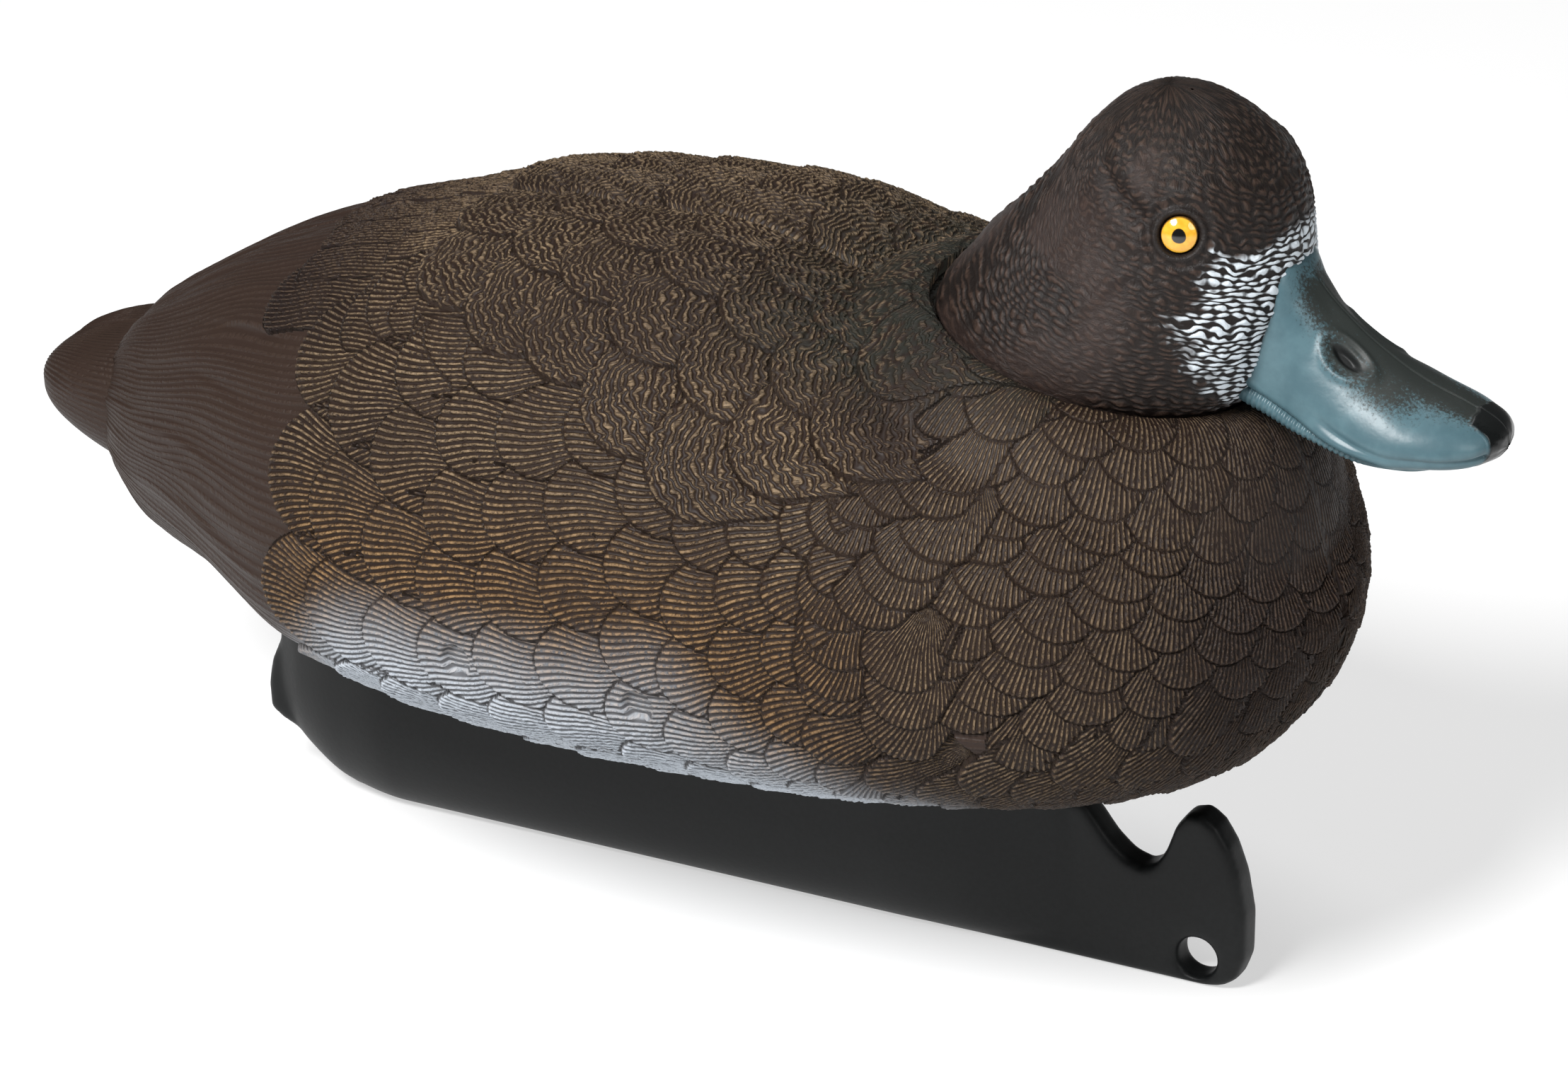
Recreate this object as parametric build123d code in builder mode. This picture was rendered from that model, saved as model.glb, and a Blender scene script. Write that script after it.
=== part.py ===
"""Floating duck decoy: moulded hull and swivelling head on a ballasted keel.

Millimetres.  +X runs toward the bill, +Z is up, Y = 0 is the parting plane of the mouldings.
The origin lies on the flat underside of the keel.
"""
import os
from math import cos, pi, radians, sin

from build123d import *

os.makedirs("parts", exist_ok=True)

# ---- driving dimensions ------------------------------------------------------------------
WALL = 2.5              # hull and head moulding wall
KEEL_WALL = 3.0         # keel moulding wall
SECTION_POINTS = 18     # points that carry each oval section

NECK = (84.5, 0.0, 143.0)   # centre of the neck seat
NECK_TILT = 14.0            # the neck axis leans forward by this many degrees
COLLAR_R = 35.9             # inside of the feathered collar round the seat
SEAT_GAP = 0.7              # head base to collar floor
FLOOR = 3.0                 # thickness of the collar floor
HUB_R = 31.5                # disc that closes the head
HUB_T = 4.0
SPIGOT_R = 11.65            # hub spigot
SOCKET_BORE_R = 12.0
SOCKET_R = 16.0
SOCKET_FLANGE_R = 28.0
SOCKET_FLANGE_T = 3.0
SOCKET_DEPTH = 20.0
SOCKET_SCREW_RING = 22.0    # radius of the ring of four screws
SOCKET_SCREW_R = 1.5
CEILING_R = 33.0            # flat ceiling of the hull under the neck
BOLT_R = 3.0                # M6 neck bolt

BILL_ROOT = (124.0, 0.0, 149.0)
BILL_PITCH = 15.5           # the bill droops by this many degrees

FIN_T = 8.0                 # keel fins
LINE_HOLE_R = 4.25
LINE_HOLE = (111.8, 6.3)
DECK_Z = 34.0               # underside of the plate inside the keel
DECK_T = 3.0
BALLAST_TOP = 21.0
SCREW_X = (-70.0, -15.0, 40.0)
SCREW_Y = 5.5
PAD_LENGTH = 11.0           # pads inside the hull, under each pair of keel screws
SEATING_Z = 51.0            # their top faces
KEEL_SCREW_R = 1.9

BILL_PEG_R = 5.0
NOSTRIL = (2.6, 1.3)        # half length and half width
NOSTRIL_DEPTH = 1.3
INSERT_R = 2.8

EYE_R = 4.1
EYE_DOME = 1.6              # the eye stands this far proud of its socket's mouth
EYE_SPHERE = 6.0
EYE_CAP = 50                # degrees above the horizontal where the dome begins
PLUG_R = 2.7
PLUG_DEPTH = 2.0

# Hull stations: x, top, bottom, half width, height of the widest point, upper power, lower power
HULL = [
    (-150.0, 99.0, 80.0, 13.0, 91.0, 2.0, 2.0),
    (-148.0, 103.5, 76.5, 18.5, 90.8, 2.1, 2.1),
    (-145.0, 107.8, 73.0, 23.0, 90.5, 2.1, 2.1),
    (-141.0, 111.5, 70.0, 27.2, 90.0, 2.1, 2.0),
    (-131.0, 117.8, 64.2, 34.5, 89.0, 2.1, 2.0),
    (-108.0, 131.0, 58.0, 49.0, 87.5, 2.1, 2.1),
    (-78.0, 142.0, 47.0, 64.0, 85.0, 2.15, 2.3),
    (-38.0, 151.5, 44.5, 73.0, 84.0, 2.2, 2.4),
    (2.0, 153.0, 44.5, 77.0, 85.0, 2.35, 2.4),
    (42.0, 145.0, 46.0, 77.0, 87.0, 2.5, 2.4),
    (72.0, 142.0, 48.0, 74.0, 89.0, 2.5, 2.3),
    (97.0, 137.5, 51.0, 67.0, 90.0, 2.4, 2.2),
    (117.0, 127.5, 56.5, 54.0, 90.0, 2.3, 2.1),
    (131.0, 111.0, 67.0, 34.5, 90.0, 2.1, 2.1),
    (138.0, 98.0, 79.0, 15.5, 90.0, 2.0, 2.0),
    (140.0, 93.5, 85.5, 6.0, 90.0, 2.0, 2.0),
]
# Tail fan, a thick rounded slab that grows out from under the rump
TAIL = [
    (-167.5, 94.5, 90.0, 6.0, 92.5, 2.0, 2.0),
    (-166.0, 96.2, 87.5, 12.0, 92.0, 2.4, 2.1),
    (-162.5, 98.0, 84.5, 17.5, 91.2, 2.7, 2.1),
    (-156.0, 100.0, 81.0, 21.5, 90.4, 2.8, 2.1),
    (-146.0, 102.0, 77.0, 25.0, 89.6, 2.8, 2.1),
    (-136.0, 103.5, 73.5, 28.0, 88.8, 2.8, 2.1),
]
# Head levels above the seat: height, front, back, half width, power
HEAD = [
    (0.0, 34.5, -34.5, 34.5, 2.0),
    (3.0, 35.5, -33.4, 34.5, 2.0),
    (8.0, 38.0, -31.0, 34.5, 2.05),
    (16.0, 39.5, -27.0, 33.0, 2.1),
    (26.0, 39.0, -21.0, 30.0, 2.1),
    (36.0, 37.0, -16.2, 27.5, 2.15),
    (46.0, 32.5, -12.2, 24.5, 2.1),
    (53.0, 25.5, -8.5, 19.0, 2.05),
    (57.8, 15.0, -3.5, 10.5, 2.0),
    (59.3, 8.0, 1.0, 3.5, 2.0),
]
# Upper mandible: distance from the root, top, bottom, half width, edge height, powers
UPPER_BILL = [
    (-12.0, 19.5, -8.0, 11.0, -3.5, 3.0, 2.4),
    (-2.0, 18.4, -8.0, 11.2, -4.0, 2.8, 2.4),
    (4.0, 16.0, -8.2, 11.8, -5.0, 2.3, 2.4),
    (12.0, 12.0, -9.0, 13.3, -6.0, 1.95, 2.4),
    (22.0, 8.5, -10.0, 15.3, -6.8, 1.9, 2.4),
    (32.0, 6.5, -9.3, 16.2, -5.5, 2.0, 2.4),
    (41.0, 5.8, -6.8, 14.6, -2.4, 2.0, 2.2),
    (48.0, 5.0, -4.2, 10.5, -0.8, 2.0, 2.0),
    (51.5, 3.0, -1.5, 4.0, 0.8, 2.0, 2.0),
]
LOWER_BILL = [
    (-12.0, -4.0, -12.5, 10.5, -7.5, 2.0, 2.2),
    (4.0, -4.5, -12.2, 10.8, -8.5, 2.0, 2.2),
    (14.0, -6.0, -12.2, 12.2, -9.5, 2.0, 2.2),
    (26.0, -6.0, -12.2, 12.7, -10.0, 2.0, 2.2),
    (36.0, -4.5, -10.5, 11.0, -8.5, 2.0, 2.2),
    (43.0, -3.0, -7.5, 7.0, -5.5, 2.0, 2.0),
]
# Keel tube: same columns as the hull; the top is trimmed to the belly
KEEL = [
    (-113.0, 60.0, 14.0, 4.0, 30.0, 4.0, 2.2),
    (-106.0, 60.0, 8.0, 8.0, 28.0, 4.0, 2.2),
    (-95.0, 60.0, 2.0, 11.5, 26.0, 4.0, 2.2),
    (-80.0, 60.0, -0.4, 13.8, 24.0, 4.0, 2.2),
    (-40.0, 60.0, -0.4, 13.8, 24.0, 4.0, 2.2),
    (0.0, 60.0, -0.4, 13.8, 24.0, 4.0, 2.2),
    (40.0, 60.0, -0.4, 13.8, 24.0, 4.0, 2.2),
    (58.0, 58.0, -0.4, 11.5, 24.0, 4.0, 2.3),
    (72.0, 56.0, -0.3, 7.0, 24.0, 4.0, 2.6),
    (84.0, 34.0, -0.2, 4.0, 18.0, 3.0, 3.0),
]
# Front fin with its cord hook, and the flared rear fin, as corner points in the parting plane
FIN_ROOT = [(70, 58), (79, 38), (85, 37)]
FIN_CURVE = [(85, 37), (91, 29.5), (99, 25), (103.5, 28.5), (106, 36), (112, 40.3), (118.5, 33.5),
             (122.8, 18), (122.6, 7), (119.5, 1.5), (114, 0)]
REAR_CURVE = [(-102, 56), (-113, 35), (-116.6, 24), (-116.6, 16), (-111, 13.2), (-102, 6.5), (-92, 1)]

tilt, pitch = radians(NECK_TILT), radians(BILL_PITCH)
neck = Plane(origin=NECK, x_dir=(cos(tilt), 0, -sin(tilt)), z_dir=(sin(tilt), 0, cos(tilt)))
neck_side = Plane(origin=NECK, x_dir=(cos(tilt), 0, -sin(tilt)), z_dir=(0, -1, 0))
neck_axis = Axis(NECK, (sin(tilt), 0, cos(tilt)))
bill_root = Plane(origin=BILL_ROOT, x_dir=(0, 1, 0), z_dir=(cos(pitch), 0, -sin(pitch)))
side = Plane(origin=(0, 0, 0), x_dir=(1, 0, 0), z_dir=(0, -1, 0))
# seats of the left eye, the two nostrils and the plugs in the right flank; each faces outward
eye_seat = Plane(origin=(112.7, 24.6, 178.5), x_dir=(0.92, -0.35, -0.1), z_dir=(0.33, 0.93, 0.16))
NOSTRILS = [Plane(origin=(142.7, 7.3, 151.5), x_dir=(0.92, 0.0, -0.49), z_dir=(0.39, 0.55, 0.74)),
            Plane(origin=(142.7, -7.3, 151.5), x_dir=(0.92, 0.0, -0.49), z_dir=(0.39, -0.55, 0.74))]
PLUGS = [Plane(origin=(-25.7, -74.3, 77.3), x_dir=(1, 0, 0), z_dir=(-0.13, -0.98, -0.15)),
         Plane(origin=(17.9, -76.3, 77.2), x_dir=(1, 0, 0), z_dir=(0.01, -0.98, -0.2))]


def signed_power(value, power):
    return abs(value) ** power * (1 if value >= 0 else -1)


def oval(top, bottom, half_width, wide, upper, lower, turn=2 * pi):
    """Points of a section, first coordinate sideways and second up, from the top round."""
    points = []
    for i in range(round(SECTION_POINTS * turn / (2 * pi)) + 1):
        a = 2 * pi * i / SECTION_POINTS
        power, reach = (upper, top - wide) if cos(a) > 0 else (lower, wide - bottom)
        points.append((half_width * signed_power(sin(a), 2 / power),
                       wide + reach * signed_power(cos(a), 2 / power)))
    return points


def cross(x):
    """Plane across the hull at x, its axes sideways and up."""
    return Plane(origin=(x, 0, 0), x_dir=(0, 1, 0), z_dir=(1, 0, 0))


def shrunk(stations, wall):
    """The same stations drawn in by a wall."""
    rows = []
    for x, top, bottom, half, wide, upper, lower in stations:
        rows.append((x, top - wall, bottom + wall, half - wall, wide, upper, lower))
    return rows


def level_oval(front, back, half, power):
    """Points of half a level section of the head, x forward and y to the left."""
    middle, reach = (front + back) / 2, (front - back) / 2
    points = []
    for i in range(SECTION_POINTS // 2 + 1):
        a = 2 * pi * i / SECTION_POINTS
        points.append((middle + reach * signed_power(cos(a), 2 / power),
                       half * signed_power(sin(a), 2 / power)))
    return points


# ---- solids that several mouldings are cut from; the left halves are drawn ---------------------
with BuildPart() as hull_outside:
    for x, *row in HULL:
        with BuildSketch(cross(x)):
            points = oval(*row, turn=pi)
            with BuildLine():
                Spline(*points, tangents=((1, 0), (-1, 0)))
                Line(points[-1], points[0])
            make_face()
    loft()

with BuildPart() as tail_fan:
    for x, *row in TAIL:
        with BuildSketch(cross(x)):
            points = oval(*row, turn=pi)
            with BuildLine():
                Spline(*points, tangents=((1, 0), (-1, 0)))
                Line(points[-1], points[0])
            make_face()
    loft()

with BuildPart() as hull_inside:
    for x, *row in shrunk(HULL[3:14], WALL):
        with BuildSketch(cross(x)):
            points = oval(*row, turn=pi)
            with BuildLine():
                Spline(*points, tangents=((1, 0), (-1, 0)))
                Line(points[-1], points[0])
            make_face()
    loft()

with BuildPart() as collar:
    # pedestal that carries the neck seat above the back
    with BuildSketch(neck_side):
        with BuildLine():
            Line((0, -16), (52, -16))
            Spline((52, -16), (47, -10.5), (42.5, -5.5), (39.4, -0.5), (37.6, 1.3), (COLLAR_R, 1))
            Polyline((COLLAR_R, 1), (COLLAR_R, -SEAT_GAP), (0, -SEAT_GAP), (0, -16))
        make_face()
    revolve(axis=neck_axis, revolution_arc=180)

with BuildPart() as hull_solid:
    add(hull_outside.part)
    add(tail_fan.part)
    # the seat is cleared first, so that the collar alone forms its rim and floor
    with Locations(neck):
        Cylinder(COLLAR_R, 20, align=(Align.CENTER, Align.CENTER, Align.MIN), mode=Mode.SUBTRACT)
    add(collar.part)

with BuildPart() as hull_cavity:
    add(hull_inside.part)
    with Locations(neck.offset(-SEAT_GAP - FLOOR)):
        # flat ceiling under the neck seat
        Cylinder(CEILING_R, 14, rotation=(0, 0, -90),
                 align=(Align.CENTER, Align.CENTER, Align.MAX))
    # raised pads on the belly, one under each pair of keel screws
    with Locations(*[(x, 0, SEATING_Z) for x in SCREW_X]):
        Box(PAD_LENGTH, 2 * PAD_LENGTH, 11, align=(Align.CENTER, Align.CENTER, Align.MAX),
            mode=Mode.SUBTRACT)

with BuildPart() as head_outside:
    for h, *row in HEAD:
        with BuildSketch(neck.offset(h)):
            points = level_oval(*row)
            with BuildLine():
                Spline(*points, tangents=((0, 1), (0, -1)))
                Line(points[-1], points[0])
            make_face()
    loft()

with BuildPart() as head_cavity:
    for h, front, back, half, power in HEAD[1:8]:
        with BuildSketch(neck.offset(max(h, HUB_T))):
            points = level_oval(front - WALL, back + WALL, half - WALL, power)
            with BuildLine():
                Spline(*points, tangents=((0, 1), (0, -1)))
                Line(points[-1], points[0])
            make_face()
    loft()
    with Locations(neck):
        # pocket for the hub
        Cylinder(HUB_R, HUB_T, align=(Align.CENTER, Align.CENTER, Align.MIN))

with BuildPart() as keel_outside:
    for x, *row in KEEL:
        with BuildSketch(cross(x)):
            with BuildLine():
                Spline(*oval(*row)[:-1], periodic=True)
            make_face()
    loft()

with BuildPart() as keel_cavity:
    for x, *row in shrunk(KEEL[2:8], KEEL_WALL):
        with BuildSketch(cross(x)):
            with BuildLine():
                Spline(*oval(*row)[:-1], periodic=True)
            make_face()
    loft()

with BuildPart() as hull_whole:
    add(hull_outside.part)
    mirror(about=Plane.XZ)

with BuildPart() as head_whole:
    add(head_outside.part)
    mirror(about=Plane.XZ)

# ---- hull ----------------------------------------------------------------------------------
with BuildPart() as body_shell_left:
    add(hull_solid.part)
    add(hull_cavity.part, mode=Mode.SUBTRACT)
    with Locations(neck):
        Cylinder(SOCKET_R, 30, mode=Mode.SUBTRACT)
    with Locations(*[(x, SCREW_Y, 45) for x in SCREW_X]):
        Cylinder(2.0, 20, mode=Mode.SUBTRACT)
    with Locations(neck.offset(-SEAT_GAP - FLOOR)):
        with PolarLocations(SOCKET_SCREW_RING, 2, start_angle=45, angular_range=180):
            # blind pilot holes for the socket screws
            Cylinder(SOCKET_SCREW_R, 4.6, mode=Mode.SUBTRACT)
body_shell_left.part.label = "body_shell_left"
export_step(body_shell_left.part, "parts/body_shell_left.step")

with BuildPart() as body_shell_right:
    add(body_shell_left.part)
    mirror(about=Plane.XZ, mode=Mode.REPLACE)
    for plug in PLUGS:
        with Locations(plug):
            Cylinder(PLUG_R, 2 * PLUG_DEPTH, mode=Mode.SUBTRACT)
body_shell_right.part.label = "body_shell_right"
export_step(body_shell_right.part, "parts/body_shell_right.step")

with BuildPart() as flank_plugs:
    # two round plugs that close the filling holes in the right flank
    for plug in PLUGS:
        with Locations(plug.offset(-PLUG_DEPTH)):
            Cylinder(PLUG_R, PLUG_DEPTH, align=(Align.CENTER, Align.CENTER, Align.MIN))
flank_plugs.part.label = "flank_plugs"
export_step(flank_plugs.part, "parts/flank_plugs.step")

# ---- neck joint, all turned about the neck axis ----------------------------------------------
with BuildPart() as neck_socket:
    floor_z = -SEAT_GAP - FLOOR
    flange_z = floor_z - SOCKET_FLANGE_T
    with BuildSketch(neck_side):
        with BuildLine():
            Polyline((SOCKET_BORE_R, -SEAT_GAP), (SOCKET_R, -SEAT_GAP), (SOCKET_R, floor_z),
                     (SOCKET_FLANGE_R, floor_z), (SOCKET_FLANGE_R, flange_z),
                     (SOCKET_R, flange_z), (SOCKET_R, -SOCKET_DEPTH),
                     (SOCKET_BORE_R, -SOCKET_DEPTH), close=True)
        make_face()
    revolve(axis=neck_axis)
    with Locations(neck.offset(flange_z)):
        with PolarLocations(SOCKET_SCREW_RING, 4, start_angle=45):
            Cylinder(SOCKET_SCREW_R + 0.3, 8, mode=Mode.SUBTRACT)
neck_socket.part.label = "neck_socket"
export_step(neck_socket.part, "parts/neck_socket.step")

with BuildPart() as socket_screws:
    # four pan-head screws, heads down inside the hull
    with Locations(neck.offset(flange_z)):
        with PolarLocations(SOCKET_SCREW_RING, 4, start_angle=45):
            Cylinder(SOCKET_SCREW_R, 5.2, align=(Align.CENTER, Align.CENTER, Align.MIN))
            Cylinder(3.2, 2.2, align=(Align.CENTER, Align.CENTER, Align.MAX))
socket_screws.part.label = "socket_screws"
export_step(socket_screws.part, "parts/socket_screws.step")

with BuildPart() as friction_washer:
    # thin disc on the collar floor that the head turns on
    with BuildSketch(neck.offset(-SEAT_GAP)):
        Circle(30)
        Circle(17, mode=Mode.SUBTRACT)
    extrude(amount=SEAT_GAP - 0.1)
friction_washer.part.label = "friction_washer"
export_step(friction_washer.part, "parts/friction_washer.step")

with BuildPart() as neck_hub:
    # disc closing the head, with the spigot that turns in the socket
    with BuildSketch(neck_side):
        with BuildLine():
            Polyline((BOLT_R + 0.2, HUB_T), (HUB_R, HUB_T), (HUB_R, 0), (SPIGOT_R, 0),
                     (SPIGOT_R, -SOCKET_DEPTH - 0.4), (BOLT_R + 0.2, -SOCKET_DEPTH - 0.4),
                     close=True)
        make_face()
    revolve(axis=neck_axis)
neck_hub.part.label = "neck_hub"
export_step(neck_hub.part, "parts/neck_hub.step")

with BuildPart() as neck_bolt:
    with BuildSketch(neck.offset(HUB_T)):
        RegularPolygon(5, 6, major_radius=False)
    extrude(amount=4)
    with Locations(neck.offset(HUB_T)):
        Cylinder(BOLT_R, 35, align=(Align.CENTER, Align.CENTER, Align.MAX))
neck_bolt.part.label = "neck_bolt"
export_step(neck_bolt.part, "parts/neck_bolt.step")

with BuildPart() as thrust_washer:
    with BuildSketch(neck.offset(-SOCKET_DEPTH - 1.9)):
        Circle(14.5)
        Circle(BOLT_R + 0.2, mode=Mode.SUBTRACT)
    extrude(amount=1.5)
thrust_washer.part.label = "thrust_washer"
export_step(thrust_washer.part, "parts/thrust_washer.step")

with BuildPart() as spring_washer:
    # split ring under the nut
    with BuildSketch(neck.offset(-SOCKET_DEPTH - 3.5)):
        Circle(6)
        Circle(BOLT_R + 0.2, mode=Mode.SUBTRACT)
        with Locations((4.5, 0)):
            Rectangle(4, 1.2, mode=Mode.SUBTRACT)
    extrude(amount=1.6)
spring_washer.part.label = "spring_washer"
export_step(spring_washer.part, "parts/spring_washer.step")

with BuildPart() as lock_nut:
    with BuildSketch(neck.offset(-SOCKET_DEPTH - 9.5)):
        RegularPolygon(5, 6, major_radius=False)
        Circle(BOLT_R, mode=Mode.SUBTRACT)
    extrude(amount=6)
lock_nut.part.label = "lock_nut"
export_step(lock_nut.part, "parts/lock_nut.step")

# ---- head ----------------------------------------------------------------------------------
with BuildPart() as head_shell_left:
    add(head_outside.part)
    add(head_cavity.part, mode=Mode.SUBTRACT)
    with Locations(bill_root):
        # hole for the peg behind the bill
        Cylinder(BILL_PEG_R, 30, mode=Mode.SUBTRACT)
    with Locations(eye_seat):
        # socket turned into the cheek, and the hole for the eye's stem
        Cylinder(EYE_R, 2.4, mode=Mode.SUBTRACT)
        Cylinder(1.2, 14, mode=Mode.SUBTRACT)
head_shell_left.part.label = "head_shell_left"
export_step(head_shell_left.part, "parts/head_shell_left.step")

with BuildPart() as head_shell_right:
    add(head_shell_left.part)
    mirror(about=Plane.XZ, mode=Mode.REPLACE)
head_shell_right.part.label = "head_shell_right"
export_step(head_shell_right.part, "parts/head_shell_right.step")

with BuildPart() as eye_left:
    with Locations(eye_seat.offset(-1.2)):
        Cylinder(EYE_R, 1.6, align=(Align.CENTER, Align.CENTER, Align.MIN))
        Cylinder(1.2, 5, align=(Align.CENTER, Align.CENTER, Align.MAX))
    with Locations(eye_seat.offset(EYE_DOME - EYE_SPHERE)):
        Sphere(EYE_SPHERE, arc_size1=EYE_CAP)
eye_left.part.label = "eye_left"
export_step(eye_left.part, "parts/eye_left.step")

with BuildPart() as eye_right:
    add(eye_left.part)
    mirror(about=Plane.XZ, mode=Mode.REPLACE)
eye_right.part.label = "eye_right"
export_step(eye_right.part, "parts/eye_right.step")

# ---- bill ----------------------------------------------------------------------------------
with BuildPart() as bill_upper:
    for s, *row in UPPER_BILL:
        with BuildSketch(bill_root.offset(s)):
            with BuildLine():
                Spline(*oval(*row)[:-1], periodic=True)
            make_face()
    loft()
    # oval nostrils pressed into the upper bill
    with BuildSketch(*[nostril.offset(-NOSTRIL_DEPTH) for nostril in NOSTRILS]):
        Ellipse(*NOSTRIL)
    extrude(amount=3 * NOSTRIL_DEPTH, mode=Mode.SUBTRACT)
    add(head_whole.part, mode=Mode.SUBTRACT)
    with Locations(bill_root.offset(7)):
        # peg through the wall of the head
        Cylinder(BILL_PEG_R, 21, align=(Align.CENTER, Align.CENTER, Align.MAX))
bill_upper.part.label = "bill_upper"
export_step(bill_upper.part, "parts/bill_upper.step")

with BuildPart() as bill_lower:
    for s, *row in LOWER_BILL:
        with BuildSketch(bill_root.offset(s)):
            with BuildLine():
                Spline(*oval(*row)[:-1], periodic=True)
            make_face()
    loft()
    add(bill_upper.part, mode=Mode.SUBTRACT)
    add(head_whole.part, mode=Mode.SUBTRACT)
bill_lower.part.label = "bill_lower"
export_step(bill_lower.part, "parts/bill_lower.step")

# ---- keel ----------------------------------------------------------------------------------
with BuildPart() as keel_shell:
    add(keel_outside.part)
    with BuildSketch(side.offset(-FIN_T / 2)):
        # front fin and cord hook
        with BuildLine():
            Polyline((50, 0), (50, 58), *FIN_ROOT)
            Spline(*FIN_CURVE)
            Line(FIN_CURVE[-1], (50, 0))
        make_face()
    extrude(amount=FIN_T)
    with BuildSketch(side.offset(-FIN_T / 2)):
        # flared rear fin
        with BuildLine():
            Polyline((-92, 1), (-80, 4), (-80, 56), (-102, 56))
            Spline(*REAR_CURVE)
        make_face()
    extrude(amount=FIN_T)
    add(keel_cavity.part, mode=Mode.SUBTRACT)
    add(hull_whole.part, mode=Mode.SUBTRACT)
    with Locations((LINE_HOLE[0], 0, LINE_HOLE[1])):
        Cylinder(LINE_HOLE_R, 40, rotation=(90, 0, 0), mode=Mode.SUBTRACT)
    # flat underside
    Box(400, 100, 50, align=(Align.CENTER, Align.CENTER, Align.MAX), mode=Mode.SUBTRACT)
keel_shell.part.label = "keel_shell"
export_step(keel_shell.part, "parts/keel_shell.step")

with BuildPart() as keel_deck:
    # plate inside the keel with posts that meet the belly
    add(keel_cavity.part)
    with Locations((-20, 0, DECK_Z)):
        Box(144, 60, DECK_T, align=(Align.CENTER, Align.CENTER, Align.MIN), mode=Mode.INTERSECT)
    with Locations(*[(x, y, DECK_Z) for x in SCREW_X for y in (-SCREW_Y, SCREW_Y)]):
        Cylinder(4.0, 20, align=(Align.CENTER, Align.CENTER, Align.MIN))
    add(hull_whole.part, mode=Mode.SUBTRACT)
    with Locations(*[(x, y, DECK_Z + 1) for x in SCREW_X for y in (-SCREW_Y, SCREW_Y)]):
        Cylinder(INSERT_R, 20, align=(Align.CENTER, Align.CENTER, Align.MIN),
                 mode=Mode.SUBTRACT)
keel_deck.part.label = "keel_deck"
export_step(keel_deck.part, "parts/keel_deck.step")

with BuildPart() as keel_inserts:
    # six threaded sleeves pressed into the posts
    with Locations(*[(x, y, DECK_Z + 1) for x in SCREW_X for y in (-SCREW_Y, SCREW_Y)]):
        Cylinder(INSERT_R, 8, align=(Align.CENTER, Align.CENTER, Align.MIN))
        Cylinder(KEEL_SCREW_R, 20, mode=Mode.SUBTRACT)
keel_inserts.part.label = "keel_inserts"
export_step(keel_inserts.part, "parts/keel_inserts.step")

with BuildPart() as keel_screws:
    # six screws driven down from inside the hull before its halves were welded
    with Locations(*[(x, y, SEATING_Z + 1) for x in SCREW_X for y in (-SCREW_Y, SCREW_Y)]):
        Cylinder(KEEL_SCREW_R, 16, align=(Align.CENTER, Align.CENTER, Align.MAX))
        Cylinder(3.5, 2.6, align=(Align.CENTER, Align.CENTER, Align.MIN))
keel_screws.part.label = "keel_screws"
export_step(keel_screws.part, "parts/keel_screws.step")

with BuildPart() as sealing_washers:
    # six rubber rings that keep the screw holes watertight
    with Locations(*[(x, y, SEATING_Z) for x in SCREW_X for y in (-SCREW_Y, SCREW_Y)]):
        Cylinder(4.5, 1, align=(Align.CENTER, Align.CENTER, Align.MIN))
        Cylinder(KEEL_SCREW_R + 0.05, 4, mode=Mode.SUBTRACT)
sealing_washers.part.label = "sealing_washers"
export_step(sealing_washers.part, "parts/sealing_washers.step")

with BuildPart() as ballast_bar:
    # weight that fills the bottom of the keel
    add(keel_cavity.part)
    with Locations((-20, 0, 0)):
        Box(142, 60, BALLAST_TOP, align=(Align.CENTER, Align.CENTER, Align.MIN),
            mode=Mode.INTERSECT)
ballast_bar.part.label = "ballast_bar"
export_step(ballast_bar.part, "parts/ballast_bar.step")

with BuildPart() as ballast_pads:
    # two rubber blocks between the weight and the deck, so that it can't rattle
    with Locations((-66, 0, BALLAST_TOP), (24, 0, BALLAST_TOP)):
        Box(18, 14, DECK_Z - BALLAST_TOP, align=(Align.CENTER, Align.CENTER, Align.MIN))
ballast_pads.part.label = "ballast_pads"
export_step(ballast_pads.part, "parts/ballast_pads.step")
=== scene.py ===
"""Looks of the floating duck decoy: feathered skins, bill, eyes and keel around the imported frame.

Work is in millimetres in the frame's own axes (+X to the bill, +Z up) until a mesh is made.
"""
from math import cos, pi, radians, sin

import bpy
import numpy as np
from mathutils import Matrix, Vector


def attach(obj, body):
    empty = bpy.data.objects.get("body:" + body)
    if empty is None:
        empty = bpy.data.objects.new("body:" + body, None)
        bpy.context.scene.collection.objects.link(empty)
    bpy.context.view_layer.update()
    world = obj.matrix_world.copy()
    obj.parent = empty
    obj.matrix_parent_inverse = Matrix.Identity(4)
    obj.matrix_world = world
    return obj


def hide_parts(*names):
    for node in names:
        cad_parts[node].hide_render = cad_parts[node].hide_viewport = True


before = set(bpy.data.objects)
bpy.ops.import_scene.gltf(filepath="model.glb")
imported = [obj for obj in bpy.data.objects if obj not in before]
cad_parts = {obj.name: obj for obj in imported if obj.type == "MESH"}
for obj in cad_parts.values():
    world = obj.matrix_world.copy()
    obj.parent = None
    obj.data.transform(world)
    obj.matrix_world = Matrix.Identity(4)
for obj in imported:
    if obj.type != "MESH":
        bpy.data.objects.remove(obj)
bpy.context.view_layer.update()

MM = 0.001
GRAIN = 0.40            # spacing of the feathered skins' vertices, mm
HULL_RUN = 372          # length of the hull's outline from rump to breast
HULL_GIRTH = 216        # largest half girth of the hull
AMBIENT = 0.075         # strength of the white surroundings as a lamp
SEED = 11               # first random seed; each half of the bird gets its own

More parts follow.
